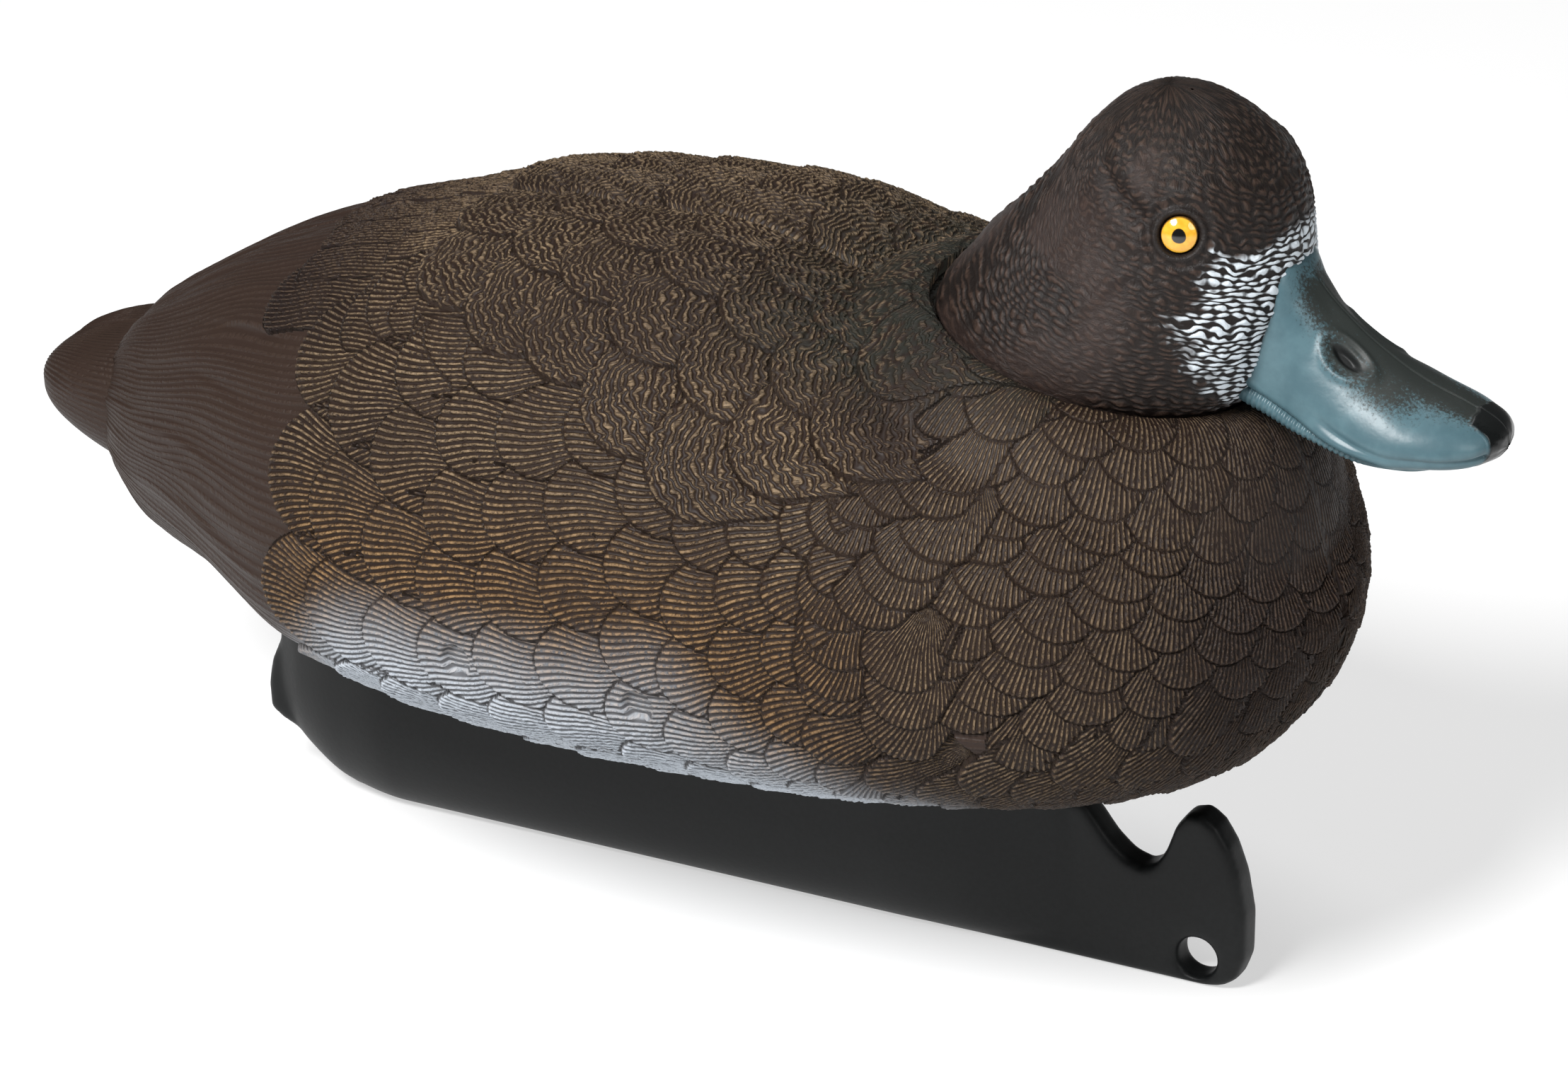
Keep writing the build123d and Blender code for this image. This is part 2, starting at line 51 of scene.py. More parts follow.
# ---- driving dimensions, as in the solids ---------------------------------------------------
# Hull stations: x, top, bottom, half width, height of the widest point, upper and lower power
HULL = np.array([
    (-146.0, 99.0, 80.0, 15.0, 91.0, 2.0, 2.0),
    (-144.5, 104.5, 74.5, 21.5, 90.8, 2.1, 2.2),
    (-142.0, 108.8, 71.0, 25.5, 90.5, 2.1, 2.3),
    (-138.0, 112.8, 68.0, 29.5, 90.0, 2.1, 2.3),
    (-129.0, 118.8, 62.5, 35.8, 89.0, 2.1, 2.3),
    (-108.0, 131.0, 59.5, 49.0, 87.5, 2.1, 2.2),
    (-78.0, 142.0, 48.5, 64.0, 85.0, 2.15, 2.3),
    (-38.0, 151.5, 44.5, 73.0, 84.0, 2.2, 2.4),
    (2.0, 153.0, 44.5, 77.0, 85.0, 2.35, 2.4),
    (42.0, 145.0, 46.0, 77.0, 87.0, 2.5, 2.4),
    (72.0, 142.0, 48.0, 74.0, 89.0, 2.5, 2.3),
    (97.0, 137.5, 51.0, 67.0, 90.0, 2.4, 2.2),
    (117.0, 127.5, 56.5, 54.0, 90.0, 2.3, 2.1),
    (131.0, 111.0, 67.0, 34.5, 90.0, 2.1, 2.1),
    (138.0, 98.0, 79.0, 15.5, 90.0, 2.0, 2.0),
    (140.0, 92.5, 86.5, 6.0, 89.8, 2.0, 2.0),
    (140.4, 90.0, 89.4, 0.5, 89.7, 2.0, 2.0)])
# Tail fan stations, in the same columns
TAIL = np.array([
    (-168.6, 92.2, 91.4, 0.6, 91.8, 2.0, 2.0),
    (-168.1, 94.2, 88.8, 6.5, 91.8, 2.0, 2.0),
    (-166.6, 96.4, 86.0, 12.8, 91.6, 2.4, 2.1),
    (-162.8, 98.6, 82.0, 18.3, 91.2, 2.7, 2.1),
    (-156.0, 100.8, 78.0, 22.3, 90.6, 2.9, 2.1),
    (-146.0, 102.8, 74.0, 25.6, 90.0, 2.9, 2.1),
    (-134.0, 104.5, 70.5, 28.0, 89.4, 2.9, 2.1)])
# Head levels above the seat: height, front, back, half width, power
HEAD = np.array([
    (0.0, 34.3, -34.3, 34.3, 2.0),
    (3.0, 35.5, -33.4, 34.5, 2.0),
    (8.0, 38.0, -31.0, 34.5, 2.05),
    (16.0, 39.5, -27.0, 33.0, 2.1),
    (26.0, 39.0, -21.0, 30.0, 2.1),
    (36.0, 37.0, -16.2, 27.5, 2.15),
    (46.0, 32.5, -12.2, 24.5, 2.1),
    (53.0, 25.5, -8.5, 19.0, 2.05)]
    + [(59.9 - 6.9 * t * t, 5.2 + 20.3 * t**1.04, 5.2 - 13.7 * t, 19.0 * t, 2.0 + 0.05 * t)
       for t in (0.84, 0.68, 0.52, 0.36, 0.2, 0.1, 0.02)])
# Bill: distance from the root, top, bottom, half width, height of the widest point, powers
UPPER_BILL = np.array([
    (-6.0, 21.6, -8.0, 11.6, -3.8, 4.5, 2.4),
    (-1.0, 20.6, -8.0, 11.8, -4.0, 4.0, 2.4),
    (4.0, 16.6, -8.2, 12.0, -5.0, 2.8, 2.4),
    (12.0, 12.0, -9.0, 13.3, -6.0, 1.95, 2.4),
    (22.0, 8.5, -10.0, 15.3, -6.8, 1.9, 2.4),
    (32.0, 6.5, -9.3, 16.2, -5.5, 2.0, 2.4),
    (41.0, 5.8, -6.8, 14.6, -2.4, 2.0, 2.2),
    (48.0, 5.0, -4.2, 10.5, -0.8, 2.0, 2.0),
    (51.5, 3.0, -1.5, 4.0, 0.8, 2.0, 2.0),
    (52.2, 1.2, 0.2, 0.5, 0.8, 2.0, 2.0)])
LOWER_BILL = np.array([
    (-8.0, -4.2, -12.5, 10.8, -7.8, 2.0, 2.2),
    (4.0, -4.5, -12.4, 11.4, -8.5, 2.0, 2.2),
    (14.0, -6.0, -12.3, 12.8, -9.5, 2.0, 2.2),
    (26.0, -6.0, -12.2, 12.9, -10.0, 2.0, 2.2),
    (36.0, -4.5, -10.5, 11.0, -8.5, 2.0, 2.2),
    (43.0, -3.0, -7.5, 7.0, -5.5, 2.0, 2.0),
    (44.0, -4.5, -6.0, 0.5, -5.2, 2.0, 2.0)])
# Keel tube stations, in the same columns as the hull
KEEL = np.array([
    (-113.0, 60.0, 14.0, 4.0, 30.0, 4.0, 2.2),
    (-106.0, 60.0, 8.0, 8.0, 28.0, 4.0, 2.2),
    (-95.0, 60.0, 2.0, 11.5, 26.0, 4.0, 2.2),
    (-80.0, 60.0, 0.0, 13.8, 24.0, 4.0, 2.2),
    (40.0, 60.0, 0.0, 13.8, 24.0, 4.0, 2.2),
    (58.0, 58.0, 0.0, 11.5, 24.0, 4.0, 2.3),
    (72.0, 56.0, 0.2, 7.0, 24.0, 4.0, 2.6),
    (84.0, 34.0, 0.4, 3.8, 18.0, 3.0, 3.0)])
# Fin outlines in x and z, and the line hole's x, z and radius
FRONT_FIN = [(50, 0), (50, 52), (72, 52), (79, 38), (85, 37), (91, 29.5), (95, 26.2), (99, 25),
             (102, 26.6), (104, 30), (106, 36), (108.5, 39.4), (112, 40.3), (115.5, 38),
             (118.5, 33.5), (121, 27), (122.8, 18), (122.8, 8), (121, 3), (118, 0.8), (114, 0)]
REAR_FIN = [(-80, 1), (-80, 52), (-103, 52), (-113, 35), (-116, 28), (-117, 22), (-116.6, 16),
            (-113.5, 13.8), (-109, 12), (-102, 6.5), (-94, 1.6)]
LINE_HOLE = (111.8, 6.3, 4.25)
FIN_THICKNESS = 8.0
# Centre of the neck seat, the neck's lean forward, and the root and droop of the bill
NECK = np.array((84.5, 0.0, 143.0))
TILT = radians(14.0)
BILL_ROOT = np.array((124.0, 0.0, 149.0))
PITCH = radians(15.5)
COLLAR_R = 35.9         # radius of the floor of the neck seat
EYE = np.array((112.7, -24.6, 178.5))
EYE_OUT = np.array((0.33, -0.93, 0.16))
EYE_R = 4.1
# Centres of the two round plugs in the right flank
PLUGS = [(-25.7, -74.3, 77.3), (17.9, -76.3, 77.2)]
NOSTRIL = (17.4, 7.4)   # along the bill from its root, and out from the middle
# Camera: azimuth and elevation in degrees, point aimed at and distance in metres, lens in mm
VIEW = (27.0, 24.0)
VIEW_TARGET = (0.012, 0.0, 0.083)
VIEW_DISTANCE = 1.4
LENS = 150.1
# Lamps: azimuth and elevation in degrees, distance and width in metres, power in watts
LAMPS = {"key": (-8, 46, 1.6, 0.55, 37), "front": (70, 30, 1.8, 0.8, 6),
         "top": (200, 70, 1.8, 0.8, 9)}
LAMP_TARGET = (0.0, 0.0, 0.09)
FLOOR_REACH = 4.0       # half the floor's side, metres


# ---- curves and noise -----------------------------------------------------------------------
def smooth(a, b, x):
    """0 below a, 1 above b, easing between."""
    t = np.clip((np.asarray(x, float) - a) / (b - a), 0, 1)
    return t * t * (3 - 2 * t)


def hump(x, width):
    """Bell curve, 1 at 0."""
    return np.exp(-(x / width)**2)


def through(xs, ys, x):
    """Monotone cubic through stations."""
    xs, ys = np.asarray(xs, float), np.asarray(ys, float)
    x = np.clip(x, xs[0], xs[-1])
    step = np.diff(xs)
    slope = np.diff(ys) / step
    m = np.zeros_like(ys)
    m[0], m[-1] = slope[0], slope[-1]
    for i in range(1, len(xs) - 1):
        if slope[i - 1] * slope[i] > 0:
            a, b = 2 * step[i] + step[i - 1], step[i] + 2 * step[i - 1]
            m[i] = (a + b) / (a / slope[i - 1] + b / slope[i])
    k = np.clip(np.searchsorted(xs, x) - 1, 0, len(step) - 1)
    t = (x - xs[k]) / step[k]
    return ((2 * t**3 - 3 * t**2 + 1) * ys[k] + (t**3 - 2 * t**2 + t) * step[k] * m[k]
            + (3 * t**2 - 2 * t**3) * ys[k + 1] + (t**3 - t**2) * step[k] * m[k + 1])


def noise(x, y, seed=0):
    """Smooth value noise from 0 to 1 on a unit lattice."""
    x, y = np.broadcast_arrays(np.asarray(x, float), np.asarray(y, float))
    x0, y0 = np.floor(x).astype(np.int64), np.floor(y).astype(np.int64)
    u, v = x - x0, y - y0
    u, v = u * u * (3 - 2 * u), v * v * (3 - 2 * v)

    def corner(i, j):
        h = (i * 374761393 + j * 668265263 + seed * 974634777) & 0xFFFFFFFF
        h = ((h ^ (h >> 13)) * 1274126177) & 0xFFFFFFFF
        return ((h ^ (h >> 16)) & 0xFFFF) / 65535.0
    low = corner(x0, y0) * (1 - u) + corner(x0 + 1, y0) * u
    high = corner(x0, y0 + 1) * (1 - u) + corner(x0 + 1, y0 + 1) * u
    return low * (1 - v) + high * v


def unit(v):
    return v / np.maximum(np.linalg.norm(v, axis=-1, keepdims=True), 1e-9)


def even_stations(table, count):
    """Station positions spaced evenly along the outline, and their columns."""
    t = np.linspace(0, pi, 6000)
    x = table[0, 0] + (table[-1, 0] - table[0, 0]) * (0.5 - 0.5 * np.cos(t))
    cols = [through(table[:, 0], table[:, i], x) for i in range(1, table.shape[1])]
    reach = np.sqrt(np.diff(x)**2 + np.maximum(np.diff(cols[0])**2, np.diff(cols[2])**2))
    run = np.r_[0, np.cumsum(reach)]
    x = np.interp(np.linspace(0, run[-1], count), run, x)
    return x, [through(table[:, 0], table[:, i], x) for i in range(1, table.shape[1])]


def half_section(top, bottom, half, wide, upper, lower, count):
    """Right half of one section from its top round to its bottom, evenly spaced."""
    t = np.linspace(0, pi, 500)
    c, s = np.cos(t), np.sin(t)
    power = np.where(c > 0, upper, lower)
    reach = np.where(c > 0, top - wide, wide - bottom)
    y = -half * np.abs(s)**(2 / power)
    z = wide + reach * np.sign(c) * np.abs(c)**(2 / power)
    run = np.r_[0, np.cumsum(np.hypot(np.diff(y), np.diff(z)))]
    at = np.linspace(0, run[-1], count)
    return np.interp(at, run, y), np.interp(at, run, z), run[-1]


def loft_half(table, count, around):
    """Grid of points on the right half of a lofted form, and each section's half girth."""
    x, cols = even_stations(table, count)
    grid = np.zeros((count, around, 3))
    girth = np.zeros(count)
    for i in range(count):
        grid[i, :, 0] = x[i]
        grid[i, :, 1], grid[i, :, 2], girth[i] = half_section(*(c[i] for c in cols), around)
    return grid, girth


def grid_normals(grid):
    """Unit normals that point away from the axis of the form."""
    normals = unit(np.cross(np.gradient(grid, axis=1), np.gradient(grid, axis=0)))
    middle = grid.mean(axis=1, keepdims=True)
    middle[..., 1] = 0
    return normals * np.sign(np.sum(normals * (grid - middle)))


def neck_frame(p):
    """Forward, left and up coordinates about the neck axis."""
    d = p - NECK
    forward = d[..., 0] * cos(TILT) - d[..., 2] * sin(TILT)
    up = d[..., 0] * sin(TILT) + d[..., 2] * cos(TILT)
    return forward, d[..., 1], up


# ---- meshes ---------------------------------------------------------------------------------
def grid_mesh(name, grid, values=None, flip=False, mirrored=False):
    """Mesh object from a grid of points in mm; values are per-point attributes."""
    if mirrored:
        grid = grid * np.array((1, -1, 1))
        flip = not flip
    n, m = grid.shape[:2]
    index = np.arange(n * m).reshape(n, m)
    a, b, c, d = index[:-1, :-1], index[1:, :-1], index[1:, 1:], index[:-1, 1:]
    quads = np.stack([a, d, c, b] if flip else [a, b, c, d], -1).reshape(-1, 4)
    mesh = bpy.data.meshes.new(name)
    mesh.vertices.add(n * m)
    mesh.vertices.foreach_set("co", (grid * MM).astype(np.float32).ravel())
    mesh.loops.add(quads.size)
    mesh.loops.foreach_set("vertex_index", quads.ravel().astype(np.int32))
    mesh.polygons.add(len(quads))
    mesh.polygons.foreach_set("loop_start", np.arange(0, quads.size, 4, dtype=np.int32))
    mesh.polygons.foreach_set("loop_total", np.full(len(quads), 4, dtype=np.int32))
    mesh.polygons.foreach_set("use_smooth", np.ones(len(quads), dtype=bool))
    mesh.update()
    layer = mesh.uv_layers.new(name="OFBake")
    i, j = np.divmod(quads.ravel(), m)
    uv = np.stack([0.005 + 0.99 * i / (n - 1), 0.005 + 0.99 * j / (m - 1)], -1)
    layer.data.foreach_set("uv", uv.astype(np.float32).ravel())
    for key, value in (values or {}).items():
        value = np.asarray(value, np.float32)
        if value.ndim == 3:
            layer = mesh.attributes.new(key, "FLOAT_VECTOR", "POINT")
            layer.data.foreach_set("vector", value.ravel())
        else:
            layer = mesh.attributes.new(key, "FLOAT", "POINT")
            layer.data.foreach_set("value", value.ravel())
    piece = bpy.data.objects.new(name, mesh)
    bpy.context.scene.collection.objects.link(piece)
    return piece


# ---- shader building ------------------------------------------------------------------------
class Paint:
    """A material's node tree, with short calls for the nodes used here."""

    def __init__(self, name):
        self.material = bpy.data.materials.new(name)
        self.material.use_nodes = True
        self.tree = self.material.node_tree
        self.shader = self.tree.nodes["Principled BSDF"]

    def put(self, socket, value):
        if isinstance(value, bpy.types.NodeSocket):
            self.tree.links.new(value, socket)
        elif isinstance(value, tuple) and len(value) == 3 and socket.type == "RGBA":
            socket.default_value = (*value, 1)
        else:
            socket.default_value = value

    def attribute(self, name):
        node = self.tree.nodes.new("ShaderNodeAttribute")
        node.attribute_name = name
        return node.outputs["Vector"] if name == "flow" else node.outputs["Fac"]

    def place(self):
        return self.tree.nodes.new("ShaderNodeTexCoord").outputs["Object"]

    def math(self, how, *values):
        node = self.tree.nodes.new("ShaderNodeMath")
        node.operation = how
        for socket, value in zip(node.inputs, values):
            self.put(socket, value)
        return node.outputs[0]

    def times(self, a, b):
        return self.math("MULTIPLY", a, b)

    def without(self, mask, share=1.0):
        """1 where the mask is 0, falling by share where it is 1."""
        return self.math("SUBTRACT", 1.0, self.times(mask, share))

    def scaled(self, vector, scale):
        node = self.tree.nodes.new("ShaderNodeVectorMath")
        node.operation = "MULTIPLY"
        self.put(node.inputs[0], vector)
        node.inputs[1].default_value = scale
        return node.outputs[0]

    def part(self, vector, axis):
        node = self.tree.nodes.new("ShaderNodeSeparateXYZ")
        self.put(node.inputs[0], vector)
        return node.outputs[axis]

    def noise(self, vector, scale=1.0, detail=2.0, rough=0.5):
        node = self.tree.nodes.new("ShaderNodeTexNoise")
        self.put(node.inputs["Vector"], vector)
        node.inputs["Scale"].default_value = scale
        node.inputs["Detail"].default_value = detail
        node.inputs["Roughness"].default_value = rough
        return node.outputs["Fac"]

    def ease(self, value, low, high):
        node = self.tree.nodes.new("ShaderNodeMapRange")
        node.interpolation_type = "SMOOTHSTEP"
        self.put(node.inputs["Value"], value)
        node.inputs["From Min"].default_value = low
        node.inputs["From Max"].default_value = high
        return node.outputs["Result"]

    def mix(self, share, a, b):
        node = self.tree.nodes.new("ShaderNodeMix")
        node.data_type = "RGBA"
        self.put(node.inputs["Factor"], share)
        self.put(node.inputs["A"], a)
        self.put(node.inputs["B"], b)
        return node.outputs["Result"]

    def bump(self, height, distance, strength=1.0):
        node = self.tree.nodes.new("ShaderNodeBump")
        self.put(node.inputs["Height"], height)
        node.inputs["Distance"].default_value = distance * MM
        node.inputs["Strength"].default_value = strength
        return node.outputs["Normal"]

    def finish(self, colour, rough, normal=None, specular=0.5, coat=0.0):
        self.put(self.shader.inputs["Base Color"], colour)
        self.put(self.shader.inputs["Roughness"], rough)
        self.shader.inputs["Specular IOR Level"].default_value = specular
        self.shader.inputs["Coat Weight"].default_value = coat
        self.shader.inputs["Coat Roughness"].default_value = 0.12
        if normal is not None:
            self.put(self.shader.inputs["Normal"], normal)
        return self.material


# ---- feather relief -------------------------------------------------------------------------
class Feathers:
    """Overlapping feathers on a grid of points. Where they overlap the highest one shows."""

    def __init__(self, grid, girth, seed):
        self.grid, self.girth = grid, girth
        self.normals = grid_normals(grid)
        self.n, self.m = grid.shape[:2]
        self.xs = grid[:, 0, 0]
        self.height = np.zeros((self.n, self.m))
        self.edge = np.full((self.n, self.m), 9.0)
        self.flow = np.zeros((self.n, self.m, 3))
        self.owner = np.zeros((self.n, self.m), int)
        self.count = 0
        self.random = np.random.default_rng(seed)

    def spot(self, x, v):
        i = int(np.clip(np.searchsorted(self.xs, x), 1, self.n - 2))
        return i, int(np.clip(round(v * (self.m - 1)), 1, self.m - 2))

    def lay(self, spot, direction, length, half, lift, kind, pitch, blunt=0.75, level=0.0):
        """One feather, its tip at spot and pointing along direction. Its root is level mm high."""
        i, j = spot
        reach = max(length, half) * 1.2
        di = int(reach / GRAIN) + 2
        dj = int(reach / (self.girth[i] / (self.m - 1))) + 2
        win = (slice(max(0, i - di), i + di + 1), slice(max(0, j - dj), j + dj + 1))
        normal = self.normals[i, j]
        along = np.asarray(direction, float)
        along = unit(along - normal * (along @ normal))
        across = np.cross(normal, along)
        p = self.grid[win] - self.grid[i, j]
        u, w = p @ along, p @ across
        share = np.clip(np.abs(w) / half, 0, 1)
        past = half * blunt * (np.sqrt(1 - share**2) - 1) - u
        inside = (np.abs(w) < half) & (past > 0) & (u > -length)
        inside = inside & (np.abs(p @ normal) < reach * 0.6)
        rise = level + lift * (1 - past / length - 0.3 * share**2)
        rise = rise * (0.45 + 0.55 * smooth(0, 0.9, past))
        wins = inside & (rise > self.height[win])
        if not wins.any():
            return
        self.count += 1
        wobble = self.random.uniform(0, 6)
        if kind == "fan":
            root = length * 1.15
            angle = np.arctan2(w, u + root)
            flow = (u, angle * root / pitch + 0.25 * np.sin(u * 0.35 + wobble))
        elif kind == "wave":
            ripple = 0.45 * np.sin(w * 0.8 + wobble) + 1.8 * noise(w * 0.25 + wobble, u * 0.2, 5)
            ripple = ripple + 1.7 * noise(w * 1.0 + wobble, u * 0.5, 6)
            flow = (2.2 * w, (u + 0.035 * w * w + ripple) / pitch)
        else:
            flow = (u, (w + 0.5 * np.sin(u * 0.3 + wobble)) / pitch)
        self.height[win] = np.where(wins, rise, self.height[win])
        self.edge[win] = np.where(wins, past, self.edge[win])
        self.owner[win] = np.where(wins, self.count, self.owner[win])
        seed = self.random.uniform(0, 50)
        for axis, value in enumerate((*flow, np.full_like(u, seed))):
            self.flow[win][..., axis] = np.where(wins, value, self.flow[win][..., axis])

    def creases(self):
        """1 along the lines where one feather passes under another."""
        o = self.owner
        line = np.zeros(o.shape)
        line[1:] += o[1:] != o[:-1]
        line[:, 1:] += o[:, 1:] != o[:, :-1]
        line[:-1] += o[1:] != o[:-1]
        line[:, :-1] += o[:, 1:] != o[:, :-1]
        return np.clip(line, 0, 1)


def upper_flank(x):
    """Where the flank feathers come out from under the back, as a share of the half girth."""
    return np.interp(x, [-95, -65, -40, -20, 0, 20, 42, 62, 70],
                     [0.25, 0.24, 0.29, 0.335, 0.36, 0.36, 0.295, 0.20, 0.12])


def lay_flank(f):
    """Large scallops in columns from the breast to the rump, tips pointing back."""
    x, last, row = 122.0, -90, 0
    while x > last:
        front, rear = smooth(10, 60, x), 1 - smooth(-85, -30, x)
        gap = 15.0 - 5.5 * front - 2.5 * rear       # column to column
        tall = 16.5 - 4.5 * front + 10.0 * rear     # feather to feather down a column
        around = np.interp(x, f.xs, f.girth)
        top = upper_flank(x) if x < 62 else 0.68
        s = top * around - 6 + (row % 2) * tall / 2
        while s < 0.97 * around:
            v = s / around
            drop = -0.45 * front - 0.14 + 0.16 * rear
            jitter = f.random.uniform(-0.06, 0.06)
            place = f.spot(x + f.random.uniform(-0.8, 0.8), v)
            f.lay(place, (-1, 0, drop + jitter), gap * 2.8, tall * 0.62, 2.1, "fan", 1.6, blunt=1.2)
            s += tall * f.random.uniform(0.94, 1.06)
        x -= gap
        row += 1


def lay_breast(f):
    """Small scales in rings about the neck, tips pointing away from it."""
    first, gap, spacing = 43, 8.0, 14.2     # first ring, ring to ring, scale to scale
    stride = 4                              # grid points skipped in the search for a place
    centre = np.array((84.5, 0.0, 95.0))
    axis = np.array((sin(TILT), 0.0, cos(TILT)))
    forward = np.array((cos(TILT), 0.0, -sin(TILT)))
    some = (slice(0, f.n, stride), slice(0, f.m, stride))
    p = f.grid[some] - centre
    reach = np.linalg.norm(p, axis=-1)
    bend = np.arccos(np.clip(p @ axis / reach, -1, 1))
    turn = np.arctan2(-p[..., 1], p @ forward)
    distance = reach * bend
    ring = reach * np.sin(bend)
    for k in range(20):
        theta = 0.10 + 0.08 * (k % 2)
        while theta < pi:
            miss = (distance - (first + gap * k))**2 + ((turn - theta) * ring)**2
            i, j = np.unravel_index(np.argmin(miss), miss.shape)
            if miss[i, j] > 60:
                theta += 0.1
                continue
            spot = (min(i * stride, f.n - 2), int(np.clip(j * stride, 1, f.m - 2)))
            x = f.grid[spot][0]
            if x > 54 + 4 * noise(k * 0.7, theta * 3, 3):
                away = unit(cos(bend[i, j]) * p[i, j] / reach[i, j] - axis)
                rear = 0.75 * smooth(60, 100, 160 - x) * smooth(45, 80, 150 - f.grid[spot][2])
                away = away + np.array((-rear, 0, 0))
                f.lay(spot, away, 19, 8.6, 1.3, "fan", 1.35, blunt=0.8, level=0.8 * float(x < 80))
            theta += spacing / max(ring[i, j], 18)


def lay_back(f):
    """Large rippled feathers over the shoulders and back, then the folded wing's long ones."""
    wide = 9.5
    for tip in (-94.0, -72.0, -52.0):
        around = np.interp(tip, f.xs, f.girth)
        s = 5.0
        while s < 0.27 * around:
            place = f.spot(tip + 5 * noise(s * 0.3, tip, 2), s / around)
            f.lay(place, (-1, 0, 0.02), 62, wide, 1.4, "comb", 1.15, blunt=0.5, level=0.5)
            s += wide
    x, last, gap, wide, row = 64.0, -60, 17, 19, 0
    while x > last:
        around = np.interp(x, f.xs, f.girth)
        low = upper_flank(x) * around - 1
        s = 7.0 + (row % 2) * wide / 2
        while s < low + 3:
            place = f.spot(x + f.random.uniform(-2, 2), s / around)
            level = 1.0 if x < 50 else 0.3
            f.lay(place, (-1, -0.35, -0.12), 36, 14.0, 2.4, "wave", 1.65, blunt=1.05, level=level)
            s += wide * f.random.uniform(0.9, 1.1)
        x -= gap
        row += 1


def collar_height(r):
    """Rim of the neck seat above the seat plane, by distance from the neck axis."""
    rim = 1.9 - 0.22 * np.clip(r - 38.0, 0, None) - 0.045 * np.clip(r - 38.0, 0, None)**2
    return np.where(r < COLLAR_R, -0.85, rim)


def hull_half(seed):
    """Relief grid and paint masks of one hull half."""
    count, around = round(HULL_RUN / GRAIN), round(HULL_GIRTH / GRAIN)
    grid, girth = loft_half(HULL, count, around)
    f = Feathers(grid, girth, seed)
    lay_flank(f)
    lay_breast(f)
    lay_back(f)
    x, v = grid[..., 0], np.linspace(0, 1, around)[None, :] + 0 * grid[..., 0]
    bare = f.owner == 0
    strip = v * 150     # distance round the bare rump and belly, mm
    drift = strip + 5 * noise(x / 30, strip / 25, 24)
    folds = noise(drift / 4.2, x / 30, 21) * 1.1 + noise(drift / 1.7, x / 17, 22) * 0.45
    f.flow[..., 0] = np.where(bare, x, f.flow[..., 0])
    f.flow[..., 1] = np.where(bare, strip / 1.7 + 2 * noise(strip / 9, x / 20, 23), f.flow[..., 1])
    # barbs ride on the feathers
    ridge = np.cos(2 * pi * f.flow[..., 1])
    loose = noise(f.flow[..., 0] / 1.1, np.round(f.flow[..., 1]) + f.flow[..., 2], 31)
    barb = (0.5 + 0.5 * ridge) * (0.65 + 0.5 * loose)
    deep = np.where(bare, 0.08, 0.66) * smooth(0, 1.0, f.edge)
    out = f.height + deep * barb + np.where(bare, 1.1 * folds, 0)
    # shoulders either side of the hollow down the back
    flat = np.abs(grid[..., 1])
    saddle = smooth(-75, -30, x) * (1 - smooth(35, 62, x)) * (v < 0.4)
    out += saddle * (1.6 * hump(flat - 34, 15) - 1.5 * hump(flat, 12))
    forward, _, up = neck_frame(grid)
    r = np.hypot(forward, grid[..., 1])
    out = np.where(up > -40, out * smooth(36, 46, r), out)
    # the moulding line, and the round plugs of the right half
    seam = smooth(0.0, 1.6, flat)
    out *= seam
    out -= 0.45 * hump(flat, 0.7) * (r > 36)
    for plug in PLUGS if seed == SEED else []:
        d = np.linalg.norm(grid - np.array(plug), axis=-1)
        out = np.where(d < 4.5, out * smooth(3.0, 3.8, d) + 0.25 * (1 - smooth(3.0, 3.8, d)), out)
    normals = f.normals.copy()
    normals[:, 0, 1] = normals[:, -1, 1] = 0
    grid = grid + unit(normals) * out[..., None]
    # raise the collar round the neck seat
    forward, side, up = neck_frame(grid)
    r = np.hypot(forward, side)
    wanted = collar_height(r) + 0.25 * barb * smooth(37.5, 40, r) * seam
    fillet = 2.0
    blend = 0.5 * (up + wanted + np.sqrt((up - wanted)**2 + fillet))
    blend = np.where(r < COLLAR_R, wanted, blend)
    lifted = np.where((up > -30) & (r < 62), np.maximum(blend, wanted) - up, 0)
    lifted = np.where(r < COLLAR_R, np.where(up > -20, wanted - up, 0), lifted)
    grid = grid + lifted[..., None] * np.array((sin(TILT), 0, cos(TILT)))
    masks = paint_masks(x, v, bare, seed)
    masks["flow"] = f.flow
    # mask of the creases, for their painted shade and their sunken bump
    masks["crease"] = f.creases() * (~bare)
    # the rims of the feather tips, for their painted edge shading
    masks["rim"] = np.where(bare, 0, (1 - smooth(0.3, 1.3, f.edge)))
    return grid, masks


def paint_masks(x, v, bare, seed):
    """Where each paint of the hull goes, 0 to 1."""
    blotch = noise(x / 26, v * 8, seed + 40)
    flank = smooth(-95, -60, x) * (1 - smooth(48, 80, x)) * smooth(0.24, 0.34, v)
    breast = smooth(60, 80, x) * (1 - smooth(112, 132, x)) * (1 - smooth(0.6, 0.75, v))
    back = smooth(-92, -55, x) * (1 - smooth(40, 66, x)) * (1 - smooth(0.3, 0.36, v))
    warm = 0.08 + 0.9 * flank + 0.62 * breast + 0.72 * back
    warm = np.clip(warm, 0, 1) * (0.7 + 0.5 * blotch)
    start = np.interp(x, [-90, -60, -20, 20, 50, 70], [0.645, 0.575, 0.54, 0.535, 0.575, 0.64])
    pale = smooth(-86, -60, x) * (1 - smooth(52, 88, x))
    pale = pale * smooth(0.0, 0.15, v - start + 0.08 * blotch)
    dusk = smooth(0, 50, x) * (1 - smooth(0.14, 0.28, v)) * (x < 90)
    low = smooth(0.6, 0.85, v) * (1 - pale)
    gold = flank * smooth(0.36, 0.5, v) * (1 - smooth(0.62, 0.75, v))
    return {"warm": np.clip(warm, 0, 1), "pale": pale, "dusk": np.clip(dusk + 0.4 * low, 0, 1),
            "gold": gold, "bare": bare.astype(float)}


